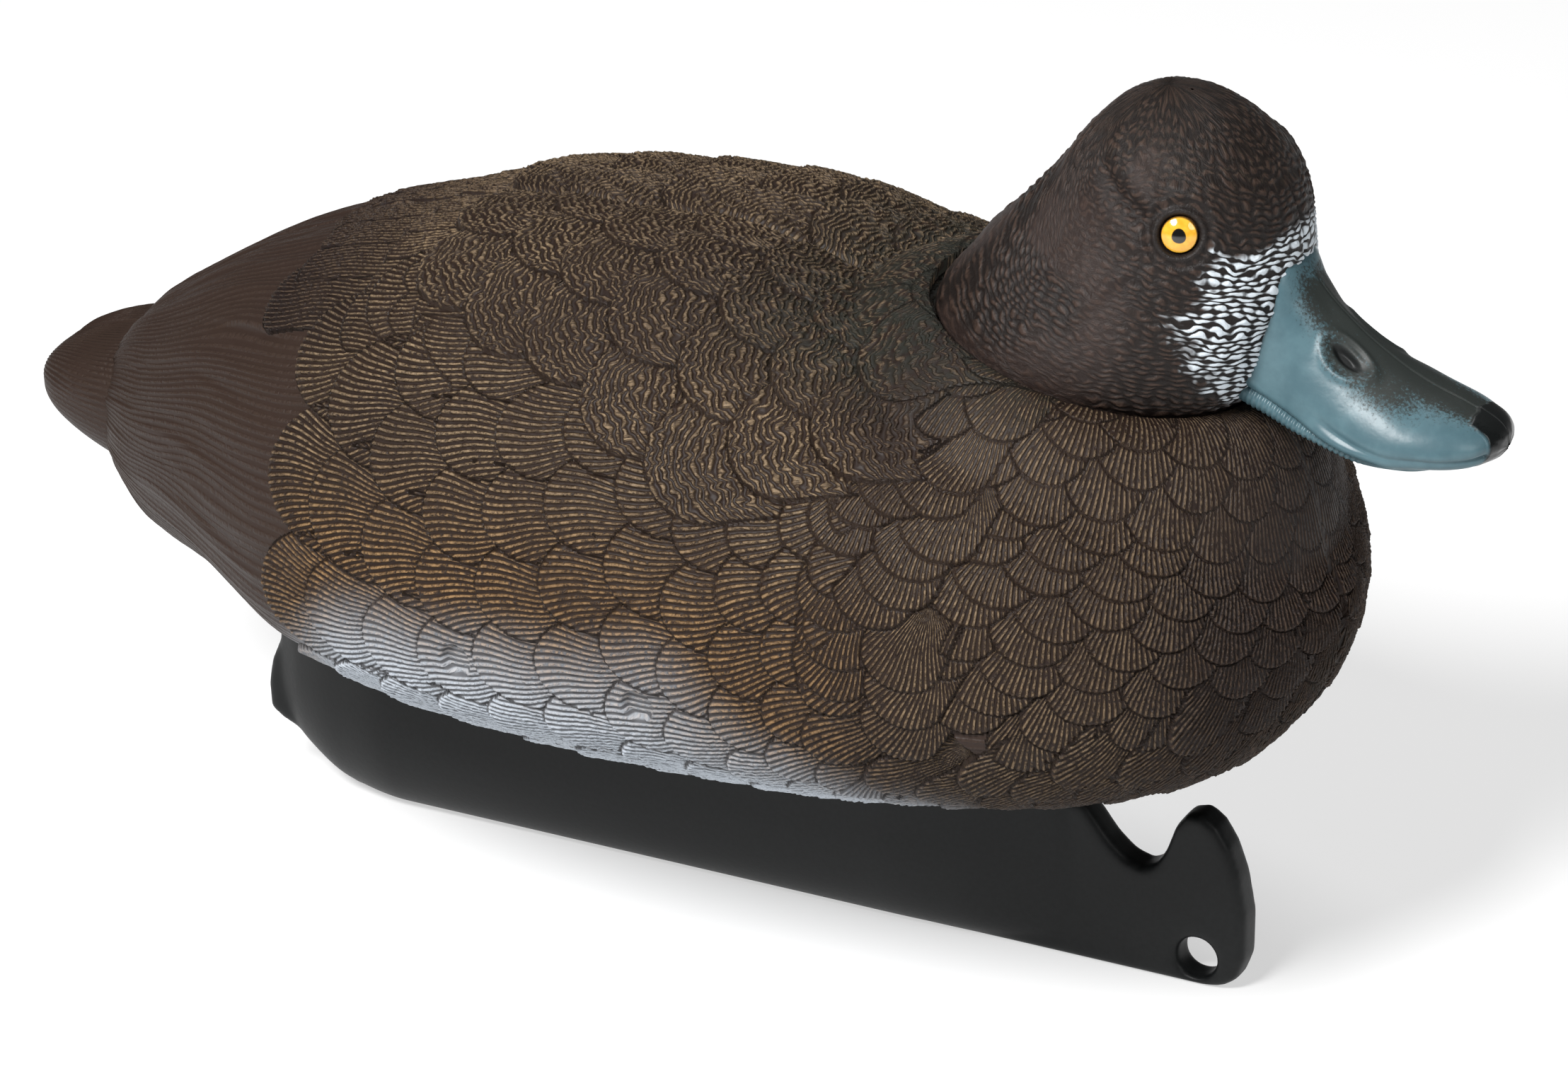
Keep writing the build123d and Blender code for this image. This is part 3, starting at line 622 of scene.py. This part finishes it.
def tail_half(seed):
    """Tail fan half with its combed streaks and paint masks."""
    grid, _ = loft_half(TAIL, 150, 190)
    v = np.linspace(0, 1, grid.shape[1])[None, :] + 0 * grid[..., 0]
    x, strip = grid[..., 0], v * 62
    comb = 0.5 + 0.5 * np.cos(2 * pi * (strip + 0.5 * np.sin(x * 0.3)) / 1.35)
    top = 1 - smooth(0.42, 0.5, v)
    out = (0.30 * comb + 0.8 * noise(strip / 7, x / 60, seed)) * top
    out = out * smooth(0, 1.2, np.abs(grid[..., 1])) * smooth(-168, -163, x)
    grid = grid + grid_normals(grid) * out[..., None]
    zero = 0 * x
    flow = np.stack([x, strip / 1.35, zero + seed], -1)
    return grid, {"flow": flow, "crease": zero, "rim": zero, "warm": 0.35 * top, "pale": zero,
                  "dusk": zero, "gold": zero, "bare": zero + 1}


def build_hull(paint):
    for side, seed, nodes in (("right", SEED, ("body_shell_right", "flank_plugs")),
                              ("left", SEED + 1, ("body_shell_left",))):
        mirrored = side == "left"
        grid, values = hull_half(seed)
        shell = grid_mesh("hull_skin_" + side, grid, values, flip=True, mirrored=mirrored)
        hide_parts(*nodes)
        grid, values = tail_half(seed)
        tail = grid_mesh("tail_skin_" + side, grid, values, flip=True, mirrored=mirrored)
        for piece in (shell, tail):
            piece.data.materials.append(paint)
            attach(piece, "hull")


# ---- head -----------------------------------------------------------------------------------
def placed(origin, lean, forward, left, up):
    """Points given by three distances from an origin, on axes leaned forward about Y."""
    return (origin + forward[..., None] * np.array((cos(lean), 0, -sin(lean)))
            + left[..., None] * np.array((0, 1, 0))
            + up[..., None] * np.array((sin(lean), 0, cos(lean))))


def head_half(seed):
    """Right half of the head with its combed strokes, eyelids and paint masks."""
    levels, (front, back, half, power) = even_stations(HEAD, 300)
    middle = (front + back) / 2
    rows = [half_section(*row, 360)[:2] for row in zip(front, back, half, middle, power, power)]
    left, forward = np.array([r[0] for r in rows]), np.array([r[1] for r in rows])
    up = levels[:, None] + 0 * left
    grid = placed(NECK, TILT, forward, left, up)
    angle = np.degrees(np.arctan2(-left, forward))
    around = np.radians(angle) * 33
    normals = grid_normals(grid)
    d = grid - EYE
    out_dir = unit(EYE_OUT)
    fore = unit(np.array((1, 0, 0)) - out_dir * out_dir[0])
    high = np.cross(out_dir, fore)
    high = high * np.sign(high[2])
    ex, ez = d @ fore, d @ high
    near_eye = (d @ out_dir > -12) & (left < 0)
    ring = np.where(near_eye, np.hypot(ex, ez), 99.0)
    # strokes run back from the bill, sweep up round the eye and wrap the nape
    lift = 3.0 * hump(angle - 58, 26) * smooth(30, 44, up)
    line = up - lift + 1.8 * noise(around / 9, up / 7, 4) + 1.3 * noise(around / 2.6, up / 1.8, 5)
    line = line + 0.5 * noise(around / 1.1, up / 1.0, 6)
    pitch = 1.25 + 0.9 * smooth(95, 150, angle)
    row = np.floor(line / pitch)
    shift = 7.3 * np.sin(row * 12.9 + seed)
    spread = 1 + 1.6 * smooth(90, 140, angle)
    dash = 0.5 + 0.5 * np.cos(2 * pi * (around + shift) / (3.6 + 1.0 * np.sin(row * 5.1)) / spread)
    stroke = (0.5 - 0.5 * np.cos(2 * pi * line / pitch)) * (0.25 + 0.75 * dash)
    calm = smooth(0.45, 0.75, noise(around / 13 + 3, up / 10, 9)) * smooth(55, 75, angle)
    calm = np.maximum(calm, np.exp(-((angle - 92) / 22)**2 - ((up - 36) / 7)**2))
    crown = smooth(44, 52, up)
    pole = 1 - smooth(57.5, 59.6, up)
    depth = 0.42 * (1 - 0.75 * calm) * (1 - 0.6 * crown) * smooth(0.5, 3, up)
    out = depth * stroke
    out += 0.8 * noise(around / 12, up / 9, 12) * smooth(1, 6, up) * (1 - 0.7 * crown)
    # groove back and up from the eye, cheek fold below it
    track = 43.0 + 0.16 * (angle - 72)
    along = smooth(60, 66, angle) * (1 - smooth(86, 106, angle))
    out += along * (-1.1 * hump(up - track, 1.7) + 0.9 * hump(up - track - 5, 3.5)
                    + 0.5 * hump(up - track + 4.5, 2.8))
    slant = (around - 44) + 0.62 * (up - 24)
    out += 0.55 * hump(slant, 1.6) * smooth(14, 20, up) * (1 - smooth(28, 34, up))
    # brow over the eye and hollow in front of it
    out += 0.9 * np.exp(-((ex - 1) / 9)**2 - ((ez - 8) / 2.6)**2) * near_eye
    out -= 0.8 * np.exp(-((ex - 11) / 6)**2 - ((ez + 2) / 5)**2) * near_eye
    out *= smooth(5.2, 8.0, ring)
    lid = 0.8 * hump(ring - 4.9, 0.8) + 0.3 * hump(ring - 7.4, 0.6)
    out += np.where(ring < 12, lid, 0)
    out -= 1.6 * (1 - smooth(EYE_R - 0.4, EYE_R + 0.2, ring))
    out *= smooth(0.0, 1.2, np.abs(left)) * pole
    grid = grid + normals * out[..., None]
    ragged = (9 * (noise(around / 1.6, up / 1.1, 15) - 0.5)
              + 7 * (noise(around / 4, up / 3, 16) - 0.5))
    left_limit = np.interp(up, [4, 10, 16.6, 24, 28, 31.7, 40], [22, 33, 43, 50, 43, 41, 42])
    top_limit = np.interp(angle, [0, 9, 20, 32, 44], [41.5, 42.3, 40.0, 38.0, 41.5])
    patch = smooth(-3, 4, left_limit - angle + ragged)
    patch = patch * smooth(-1.2, 1.2, top_limit - up + ragged * 0.12)
    patch = patch * smooth(2, 8, up) * smooth(6.2, 7.4, ring)
    flow = np.stack([around, line / pitch, 0 * up + seed], -1)
    socket = 1 - smooth(5.0, 6.6, ring)
    return grid, {"flow": flow, "patch": patch, "stroke": stroke, "calm": calm, "socket": socket,
                  "crown": crown}


def build_eye(side, paint):
    """Glossy dome with an iris and a pupil, seated in the head."""
    sign = -1 if side == "right" else 1
    outward = unit(EYE_OUT * np.array((1, -sign, 1)))
    centre = EYE * np.array((1, -sign, 1))
    fore = unit(np.array((1, 0, 0)) - outward * outward[0])
    other = np.cross(outward, fore)
    rings, turns = 40, 72
    rho = np.linspace(0, 1, rings)
    turn = np.linspace(0, 2 * pi, turns)
    rr, tt = np.meshgrid(rho, turn, indexing="ij")
    r = 0.93 * EYE_R * rr
    height = 0.15 + 1.25 * (1 - rr**2) - 1.2 * smooth(0.93, 1.0, rr)
    grid = (centre + (r * np.cos(tt))[..., None] * fore + (r * np.sin(tt))[..., None] * other
            + height[..., None] * outward)
    wobble = 0.012 * np.sin(2 * tt + 1) + 0.012 * np.sin(3 * tt)
    pupil = 1 - smooth(0.37, 0.41, rr + wobble)
    rim = smooth(0.90, 0.97, rr + 0.5 * wobble)
    piece = grid_mesh("eye_" + side, grid, {"pupil": pupil, "rim": rim}, flip=sign > 0)
    piece.data.materials.append(paint)
    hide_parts("eye_" + side)
    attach(piece, "head")


def build_head(skin, eye):
    for side, seed in (("right", 3.0), ("left", 8.0)):
        grid, values = head_half(seed)
        piece = grid_mesh("head_skin_" + side, grid, values, mirrored=side == "left")
        piece.data.materials.append(skin)
        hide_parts("head_shell_" + side)
        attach(piece, "head")
        build_eye(side, eye)


# ---- bill -----------------------------------------------------------------------------------
def whole(half):
    """The right half joined to its mirror image, from the bottom round to the bottom."""
    return np.concatenate([half[:, ::-1], (half * np.array((1, -1, 1)))[:, 1:]], axis=1)


def build_bill(paint):
    half, _ = loft_half(UPPER_BILL, 230, 170)
    local = whole(half)
    s, y, z = (local[..., i] for i in range(3))
    v = np.abs(np.linspace(1, -1, local.shape[1]))[None, :] + 0 * s
    ds, dy = s - NOSTRIL[0], np.abs(y) - NOSTRIL[1]
    up_side = z > np.interp(s, UPPER_BILL[:, 0], UPPER_BILL[:, 4]) + 1
    a, b = ds + 0.35 * dy, dy - 0.12 * ds
    oval = np.sqrt((a / 6.6)**2 + (b / 3.2)**2)
    slit = np.sqrt((a / 3.3)**2 + (b / 1.15)**2)
    nose = 0.42 * hump(oval - 1.0, 0.2) - 0.55 * (1 - smooth(0.6, 1.0, oval))
    nose += 0.25 * hump(slit - 1.7, 0.4) - 1.3 * (1 - smooth(0.5, 1.3, slit))
    nose = np.where(up_side, nose, 0)
    # rolled lip along the cutting edge, and the nail at the tip
    cut = 0.545 + 0.02 * np.sin(3 * (s - 6) / 40)
    lip = -0.55 * hump(v - cut, 0.022) * smooth(14, 24, s)
    lip += 0.5 * hump(v - 0.625, 0.045) * smooth(8, 20, s)
    nail = smooth(44.6, 45.4, s + 0.7 * noise(y / 1.8, z / 1.8, 7) - 0.012 * y * y)
    nail = nail * (1 - smooth(6.2, 6.9, np.abs(y) + 0.4 * noise(s / 1.5, z / 1.5, 8)))
    crest = 0.5 * hump(v, 0.05) * (1 - smooth(10, 30, s)) * smooth(0, 4, s)
    out = nose + lip * (1 - nail) + 0.45 * nail + crest + 0.25 * noise(s / 6, v * 9, 3)
    out -= 0.35 * hump(v, 0.006) * smooth(2, 6, s)
    grid = placed(BILL_ROOT, PITCH, s, y, z)
    grid = grid + grid_normals(grid) * out[..., None]
    top = 1 - smooth(0.06, 0.40, v)
    around_nose = np.where(up_side, np.exp(-(oval / 1.15)**4), 0)
    soot = np.clip(np.maximum(top * smooth(-3, 7, s) * (0.75 + 0.25 * smooth(0.3, 0.1, v)),
                              around_nose * 0.9), 0, 1)
    front = 0.9 * hump(s - 26, 12) * (1 - smooth(0.2, 0.5, v))
    values = {"nail": nail, "soot": np.clip(np.maximum(soot, front), 0, 1),
              "slit": np.where(up_side, 1 - smooth(0.9, 1.5, slit), 0)}
    upper = grid_mesh("bill_skin_upper", grid, values)
    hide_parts("bill_upper")
    half, _ = loft_half(LOWER_BILL, 230, 110)
    local = whole(half)
    s, y, z = (local[..., i] for i in range(3))
    v = np.abs(np.linspace(1, -1, local.shape[1]))[None, :] + 0 * s
    ribs = 0.32 * (0.5 + 0.5 * np.cos(2 * pi * s / 1.25))
    ribs = ribs * smooth(0.30, 0.36, v) * (1 - smooth(0.60, 0.68, v))
    out = ribs * smooth(-1, 2, s) * (1 - smooth(24, 30, s))
    grid = placed(BILL_ROOT, PITCH, s, y, z)
    grid = grid + grid_normals(grid) * out[..., None]
    zero = 0 * s
    lower = grid_mesh("bill_skin_lower", grid, {"nail": zero, "soot": zero, "slit": zero})
    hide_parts("bill_lower")
    for piece in (upper, lower):
        piece.data.materials.append(paint)
        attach(piece, "head")


# ---- keel -----------------------------------------------------------------------------------
def fin_outline(points, hole=None):
    """Rounded slab standing in the parting plane."""
    data = bpy.data.curves.new("fin", "CURVE")
    data.dimensions = "2D"
    data.fill_mode = "BOTH"
    round_over = 1.6
    data.extrude = (FIN_THICKNESS / 2 - round_over) * MM
    data.bevel_depth = round_over * MM
    data.bevel_resolution = 3
    data.offset = -round_over * MM
    loops = [points]
    if hole:
        cx, cz, r = hole
        loops.append([(cx + (r + 0.3) * cos(2 * pi * i / 64), cz + (r + 0.3) * sin(2 * pi * i / 64))
                      for i in range(64)])
    for loop in loops:
        spline = data.splines.new("POLY")
        spline.points.add(len(loop) - 1)
        for point, (x, z) in zip(spline.points, loop):
            point.co = (x * MM, z * MM, 0, 1)
        spline.use_cyclic_u = True
    piece = bpy.data.objects.new("fin", data)
    piece.rotation_euler = (pi / 2, 0, 0)
    bpy.context.scene.collection.objects.link(piece)
    return piece


def settled(piece):
    """The piece's mesh with modifiers applied, and the piece removed."""
    bpy.context.view_layer.update()
    graph = bpy.context.evaluated_depsgraph_get()
    mesh = bpy.data.meshes.new_from_object(piece.evaluated_get(graph), depsgraph=graph)
    mesh.transform(piece.matrix_world)
    bpy.data.objects.remove(piece)
    return mesh


def build_keel(paint):
    """Tube and fins melted into one skin, with soft joints as in a moulding."""
    half, _ = loft_half(KEEL, 150, 70)
    tube = whole(half)
    n, m = tube.shape[:2]
    caps = [tuple(range(m - 1)), tuple((n - 1) * m + i for i in reversed(range(m - 1)))]
    index = np.arange(n * m).reshape(n, m)
    index[:, -1] = index[:, 0]
    quads = np.stack([index[:-1, :-1], index[:-1, 1:], index[1:, 1:], index[1:, :-1]], -1)
    quads = quads.reshape(-1, 4)
    mesh = bpy.data.meshes.new("tube")
    mesh.from_pydata((tube.reshape(-1, 3) * MM).tolist(), [], quads.tolist() + caps)
    tube_piece = bpy.data.objects.new("tube", mesh)
    bpy.context.scene.collection.objects.link(tube_piece)
    parts = [settled(piece) for piece in (tube_piece, fin_outline(FRONT_FIN, LINE_HOLE),
                                          fin_outline(REAR_FIN))]
    points, faces, base = [], [], 0
    for part in parts:
        points += [tuple(v.co) for v in part.vertices]
        faces += [tuple(i + base for i in f.vertices) for f in part.polygons]
        base = len(points)
    mesh = bpy.data.meshes.new("keel")
    mesh.from_pydata(points, [], faces)
    mesh.update()
    piece = bpy.data.objects.new("keel_block", mesh)
    bpy.context.scene.collection.objects.link(piece)
    remesh = piece.modifiers.new("union", "REMESH")
    remesh.mode = "VOXEL"
    remesh.voxel_size = 0.7 * MM
    blend = piece.modifiers.new("blend", "SMOOTH")
    blend.factor = 0.5
    blend.iterations = 14
    skin = bpy.data.objects.new("keel_skin", settled(piece))
    skin.data.polygons.foreach_set("use_smooth", np.ones(len(skin.data.polygons), dtype=bool))
    bpy.context.scene.collection.objects.link(skin)
    skin.data.materials.clear()
    skin.data.materials.append(paint)
    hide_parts("keel_shell")
    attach(skin, "hull")


# ---- paints ---------------------------------------------------------------------------------
def feather_paint():
    """Paint of the hull and tail."""
    p = Paint("feather_paint")
    flow, crease, rim = p.attribute("flow"), p.attribute("crease"), p.attribute("rim")
    warm, pale, dusk, bare = (p.attribute(n) for n in ("warm", "pale", "dusk", "bare"))
    # barbs run along the flow, tan on their crests and dark between
    wave = p.math("COSINE", p.times(p.part(flow, 1), 2 * pi))
    barb = p.math("MULTIPLY_ADD", wave, 0.5, 0.5)
    grain = p.noise(p.scaled(p.place(), (900, 900, 900)), 1.0, 3.0, 0.6)
    beads = p.noise(p.scaled(flow, (0.9, 1.0, 1.0)), 1.0, 2.0, 0.6)
    blotch = p.noise(p.scaled(p.place(), (70, 70, 70)), 1.0, 4.0, 0.6)
    high = p.times(p.ease(barb, 0.22, 0.9), p.ease(beads, 0.28, 0.62))
    # painted shade: along the creases where one feather passes under another, most of the brushed
    # tan is taken off, so they read dark
    high = p.times(high, p.without(crease, 0.8))
    brushed = p.times(high, p.ease(grain, 0.2, 0.6))
    # dry-brushed paint: dark brown, tan where brushed, gold on the flank
    ridge = p.mix(warm, (0.042, 0.026, 0.019), (0.235, 0.165, 0.098))
    ridge = p.mix(p.times(p.attribute("gold"), 0.75), ridge, (0.29, 0.165, 0.068))
    valley = p.mix(warm, (0.012, 0.007, 0.006), (0.017, 0.009, 0.006))
    ridge = p.mix(bare, ridge, (0.036, 0.022, 0.016))
    valley = p.mix(bare, valley, (0.026, 0.015, 0.011))
    colour = p.mix(brushed, valley, ridge)
    colour = p.mix(p.times(p.ease(blotch, 0.4, 0.7), 0.35), colour, (0.030, 0.018, 0.012))
    # painted edge shading: the rims of the feather tips blend towards a mid brown, which marks
    # their edges
    soft = p.mix(p.times(rim, 0.45), colour, (0.045, 0.028, 0.019))
    sprayed = p.times(dusk, p.ease(p.noise(p.place(), 380, 3.0), 0.32, 0.62))
    soft = p.mix(p.times(sprayed, 0.85), soft, (0.016, 0.018, 0.014))
    # pale mist sprayed over the belly
    cover = p.math("MULTIPLY_ADD", p.ease(barb, 0.12, 0.7), 0.70, 0.26)
    mist = p.times(pale, cover)
    # painted shade: less pale mist along the creases between overlapping feathers, so they stay
    # dark
    mist = p.times(mist, p.without(crease, 0.55))
    colour = p.mix(mist, soft, (0.47, 0.515, 0.57))
    rough = p.math("ADD", 0.42, p.times(grain, 0.22))
    height = p.math("SUBTRACT", high, p.times(crease, 0.5))
    fine = p.math("ADD", height, p.times(grain, 0.18))
    fine = p.times(fine, p.without(bare, 0.6))
    normal = p.bump(fine, 0.36, 1.0)
    return p.finish(colour, rough, normal, specular=0.20)


def head_paint():
    """Very dark brown strokes, with the white face patch brushed on their crests."""
    p = Paint("head_paint")
    flow, patch, stroke = p.attribute("flow"), p.attribute("patch"), p.attribute("stroke")
    calm, socket, crown = p.attribute("calm"), p.attribute("socket"), p.attribute("crown")
    grain = p.noise(p.scaled(p.place(), (1100, 1100, 1100)), 1.0, 3.0, 0.6)
    cells = p.noise(p.scaled(flow, (0.75, 1.5, 1.0)), 1.0, 4.0, 0.7)
    ridge = p.times(p.ease(stroke, 0.15, 0.7), p.ease(cells, 0.25, 0.6))
    colour = p.mix(ridge, (0.009, 0.006, 0.005), (0.043, 0.026, 0.019))
    tan = p.times(p.ease(cells, 0.5, 0.75), p.times(crown, 0.5))
    colour = p.mix(tan, colour, (0.085, 0.062, 0.042))
    colour = p.mix(p.times(calm, 0.5), colour, (0.040, 0.026, 0.022))
    brushed = p.ease(p.times(stroke, p.math("ADD", 0.35, cells)), 0.14, 0.36)
    white = p.times(patch, brushed)
    colour = p.mix(white, colour, (0.66, 0.72, 0.77))
    colour = p.mix(p.times(socket, 0.85), colour, (0.012, 0.009, 0.008))
    rough = p.math("ADD", 0.36, p.times(grain, 0.25))
    fine = p.math("ADD", p.times(cells, 0.9), p.times(grain, 0.2))
    return p.finish(colour, rough, p.bump(fine, 0.42, 1.0), specular=0.26)


def bill_paint():
    """Slate blue with black overspray on the ridge and round the nostrils, and a black nail."""
    p = Paint("bill_paint")
    nail, soot, slit = p.attribute("nail"), p.attribute("soot"), p.attribute("slit")
    speck = p.noise(p.place(), 1500, 3.0, 0.7)
    cloud = p.noise(p.place(), 140, 4.0, 0.6)
    colour = p.mix(p.ease(cloud, 0.35, 0.7), (0.060, 0.115, 0.137), (0.082, 0.150, 0.174))
    dots = p.ease(p.math("ADD", p.times(soot, 0.7), p.times(speck, 1.1)), 0.74, 1.12)
    colour = p.mix(dots, colour, (0.018, 0.022, 0.020))
    colour = p.mix(p.math("MAXIMUM", nail, slit), colour, (0.005, 0.006, 0.006))
    rough = p.math("SUBTRACT", p.math("ADD", 0.36, p.times(dots, 0.15)), p.times(nail, 0.12))
    fine = p.math("ADD", p.times(cloud, 0.7), p.times(p.noise(p.place(), 420, 2.0), 0.3))
    return p.finish(colour, rough, p.bump(fine, 0.35, 0.5), specular=0.38)


def eye_paint():
    """Yellow-orange iris with a black pupil, glossy."""
    p = Paint("eye_paint")
    pupil, rim = p.attribute("pupil"), p.attribute("rim")
    spot = p.noise(p.place(), 900, 3.0)
    colour = p.mix(p.ease(spot, 0.3, 0.7), (0.72, 0.34, 0.022), (0.80, 0.43, 0.040))
    colour = p.mix(rim, colour, (0.10, 0.05, 0.02))
    colour = p.mix(pupil, colour, (0.004, 0.004, 0.004))
    return p.finish(colour, 0.08, specular=0.6, coat=0.6)


def plain_paint(name, low, high, rough, metal=0.0, scale=300.0, depth=0.05, stretch=(1, 1, 1)):
    """Two tones of one stuff, with a fine grain."""
    p = Paint(name)
    grain = p.noise(p.scaled(p.place(), tuple(scale * k for k in stretch)), 1.0, 4.0, 0.6)
    colour = p.mix(p.ease(grain, 0.3, 0.7), low, high)
    shine = p.math("ADD", rough, p.times(grain, 0.15))
    p.shader.inputs["Metallic"].default_value = metal
    return p.finish(colour, shine, p.bump(grain, depth, 0.6), specular=0.25)


# Looks of the parts inside: plain_paint's tones, roughness, metal, scale, depth and stretch
INNER = {
    "steel": (((0.42, 0.43, 0.44), (0.56, 0.57, 0.58), 0.28, 1.0, 500, 0.03, (1, 1, 6)),
              ("socket_screws", "neck_bolt", "thrust_washer", "spring_washer", "lock_nut",
               "keel_screws")),
    "brass": (((0.55, 0.38, 0.13), (0.70, 0.50, 0.20), 0.25, 1.0, 500, 0.03, (1, 1, 5)),
              ("keel_inserts",)),
    "rubber": (((0.012, 0.012, 0.012), (0.024, 0.024, 0.024), 0.72, 0.0, 700, 0.08),
               ("sealing_washers", "ballast_pads")),
    "inner_plastic": (((0.035, 0.035, 0.036), (0.055, 0.055, 0.055), 0.42, 0.0, 350, 0.05),
                      ("neck_socket", "neck_hub", "keel_deck", "friction_washer")),
    "ballast": (((0.07, 0.07, 0.075), (0.14, 0.14, 0.145), 0.6, 0.6, 200, 0.2), ("ballast_bar",)),
}


def finish_inner_nodes():
    for name, (look, nodes) in INNER.items():
        material = plain_paint(name + "_look", *look)
        for node in nodes:
            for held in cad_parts[node].material_slots:
                held.material = material


# ---- studio and camera ------------------------------------------------------------------------
def look(item, azimuth, elevation, distance, target):
    """Stand a lamp or camera at that azimuth and elevation from the target, looking at it."""
    a, e = radians(azimuth), radians(elevation)
    back = Vector((sin(a) * cos(e), -cos(a) * cos(e), sin(e)))
    item.location = Vector(target) + back * distance
    item.rotation_euler = back.to_track_quat("Z", "Y").to_euler()
    bpy.context.scene.collection.objects.link(item)


def area_light(name, azimuth, elevation, distance, size, power):
    """Soft round lamp aimed at the object."""
    data = bpy.data.lights.new(name, "AREA")
    data.shape = "DISK"
    data.size = size
    data.energy = power
    lamp = bpy.data.objects.new(name, data)
    look(lamp, azimuth, elevation, distance, LAMP_TARGET)
    return lamp


def build_studio():
    """Pale floor, three soft lamps and white surroundings that light only a little."""
    mesh = bpy.data.meshes.new("floor")
    signs = ((-1, -1), (1, -1), (1, 1), (-1, 1))
    corners = [(FLOOR_REACH * i, FLOOR_REACH * j, 0) for i, j in signs]
    mesh.from_pydata(corners, [], [(0, 1, 2, 3)])
    floor = bpy.data.objects.new("floor", mesh)
    bpy.context.scene.collection.objects.link(floor)
    p = Paint("floor_pale")
    p.shader.inputs["Emission Color"].default_value = (1, 1, 1, 1)
    p.shader.inputs["Emission Strength"].default_value = 0.55
    floor.data.materials.append(p.finish((0.5, 0.5, 0.5), 0.9, specular=0.1))
    lamps = [area_light(name, *row) for name, row in LAMPS.items()]
    world = bpy.data.worlds.new("studio")
    world.use_nodes = True
    nodes, links = world.node_tree.nodes, world.node_tree.links
    nodes["Background"].inputs["Color"].default_value = (1, 1, 1, 1)
    seen = nodes.new("ShaderNodeLightPath")
    level = nodes.new("ShaderNodeMapRange")
    level.inputs["To Min"].default_value = AMBIENT
    level.inputs["To Max"].default_value = 1.0
    links.new(seen.outputs["Is Camera Ray"], level.inputs["Value"])
    links.new(level.outputs["Result"], nodes["Background"].inputs["Strength"])
    bpy.context.scene.world = world
    bpy.context.scene.view_settings.view_transform = "Standard"


def build_camera():
    data = bpy.data.cameras.new("camera")
    data.sensor_width = 36.0
    data.lens = LENS
    data.clip_start = 0.05
    data.dof.use_dof = False
    camera = bpy.data.objects.new("camera", data)
    look(camera, *VIEW, VIEW_DISTANCE, VIEW_TARGET)
    bpy.context.scene.camera = camera


build_hull(feather_paint())
build_head(head_paint(), eye_paint())
build_bill(bill_paint())
build_keel(plain_paint("keel_satin", (0.0030, 0.0036, 0.0038), (0.0060, 0.0068, 0.0070), 0.40,
                       scale=900.0, depth=0.06))
finish_inner_nodes()
build_studio()
build_camera()
